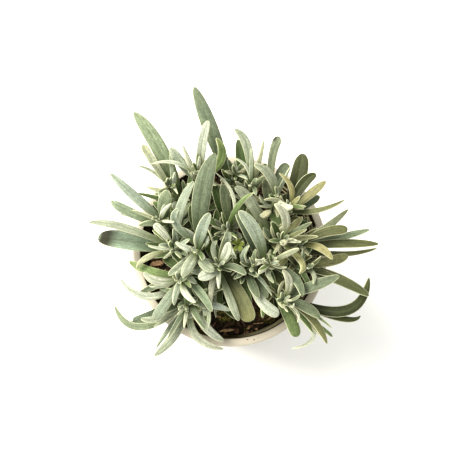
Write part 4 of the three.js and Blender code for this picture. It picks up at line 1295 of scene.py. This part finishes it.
def leafletTree(leaflet, sizes):
    tree, given = startTree("young leaves", sizes)
    heads = addNode(tree, "GeometryNodeMeshToPoints", {"Mesh": given["Geometry"]})
    copies = addNode(
        tree, "GeometryNodeDuplicateElements", {"Geometry": heads, "Amount": given["Leaflets"]},
        domain="POINT")
    number = copies.outputs["Duplicate Index"]
    share = addNode(tree, "ShaderNodeMath", {0: number, 1: given["Leaflets"]}, operation="DIVIDE")
    # leaves stand in pairs, each pair crossing the one below
    pair = addNode(tree, "ShaderNodeMath", {0: number, 1: 2.0}, operation="MODULO")
    half = addNode(tree, "ShaderNodeMath", {0: pair, 1: math.pi}, operation="MULTIPLY")
    crossed = addNode(
        tree, "ShaderNodeMath", {0: number, 1: math.pi / 4 + 0.12, 2: half}, operation="MULTIPLY_ADD")
    start = addNode(tree, "GeometryNodeInputNamedAttribute", {"Name": "turn"}, data_type="FLOAT")
    jitter = addNode(
        tree, "FunctionNodeRandomValue", {2: -0.35, 3: 0.35, "Seed": given["Seed"]}, data_type="FLOAT")
    begun = addNode(tree, "ShaderNodeMath", {0: crossed, 1: start}, operation="ADD")
    turn = addNode(tree, "ShaderNodeMath", {0: begun, 1: jitter}, operation="ADD")
    tilt = addNode(tree, "ShaderNodeMapRange", {0: share, 3: given["Outer tilt"], 4: given["Inner tilt"]})
    down = addNode(tree, "ShaderNodeMath", {0: jitter, 1: tilt}, operation="SUBTRACT")
    size = addNode(tree, "ShaderNodeMapRange", {0: share, 3: given["Longest"], 4: given["Shortest"]})
    rise = addNode(tree, "ShaderNodeMath", {0: share, 1: given["Height"]}, operation="MULTIPLY")
    offset = addNode(tree, "ShaderNodeCombineXYZ", {2: rise})
    lifted = addNode(tree, "GeometryNodeSetPosition", {"Geometry": copies, "Offset": offset})
    facing = addNode(tree, "ShaderNodeCombineXYZ", {1: down, 2: turn})
    shape = addNode(tree, "GeometryNodeObjectInfo", {"Object": leaflet})
    placed = addNode(
        tree, "GeometryNodeInstanceOnPoints",
        {"Points": lifted, "Instance": shape.outputs["Geometry"], "Rotation": facing, "Scale": size})
    endTree(tree, placed, felt)
    return tree


def makeLeaflets():
    growth = Growth()
    leaf = newLeaf(
        np.array([0.5, 0, 0.0]), np.array([8.5, 0, -1.0]), 2.7, bow=0.4, arch=2.0, roll=0.1, curl=0.9,
        twist=0.3, slender=1.0, young=0.35)
    addBlade(growth, leaf, varied("s", 5), 9, 3)
    leaflet = growth.piece("leaflet")
    tops = meshObject(
        "heads", [shoot["head"] - [0, 0, 1.2] for shoot in shoots], [],
        {"turn": [0.6 * shoot["number"] for shoot in shoots]})
    made = bakeTree("headLeaflets", tops, leafletTree(leaflet, headLeaflets), headLeaflets)
    bpy.data.objects.remove(leaflet)
    bpy.data.objects.remove(tops)
    finishPiece(made, "foliage")
    print("head leaflets", len(made.data.polygons))


makeLeaflets()


# floor and light


def addLight(name, place, size, power, colour):
    data = bpy.data.lights.new(name, "AREA")
    data.shape = "SQUARE"
    data.size = size
    data.energy = power
    data.color = linear(colour)[:3]
    light = addObject(name, data)
    light.location = place
    aim = Vector((0, 0, rimHeight * mm)) - Vector(place)
    light.rotation_euler = aim.to_track_quat("-Z", "Y").to_euler()


# a white floor 8 m across, one softbox at the upper left and an even bright sky
def setStage():
    reach = 4000
    corners = [(-reach, -reach, 0), (reach, -reach, 0), (reach, reach, 0), (-reach, reach, 0)]
    floor = meshObject("floor", corners, [(0, 1, 2, 3)])
    board = {"Roughness": 0.9, "Base Color": linear("#f4f4f2")}
    floor.data.materials.append(startMaterial("matt white board", board)[0])
    addLight("key softbox", (-0.75, 0.35, 1.25), 0.8, 39, "#fffaf2")
    world = bpy.data.worlds.new("studio")
    world.use_nodes = True
    back = world.node_tree.nodes["Background"]
    setInputs(world.node_tree, back, {"Color": linear("#fffffd"), "Strength": 0.9})
    bpy.context.scene.world = world
    bpy.context.scene.view_settings.view_transform = "Standard"
    bpy.context.scene.view_settings.look = "Medium High Contrast"


setStage()
print("stage set")
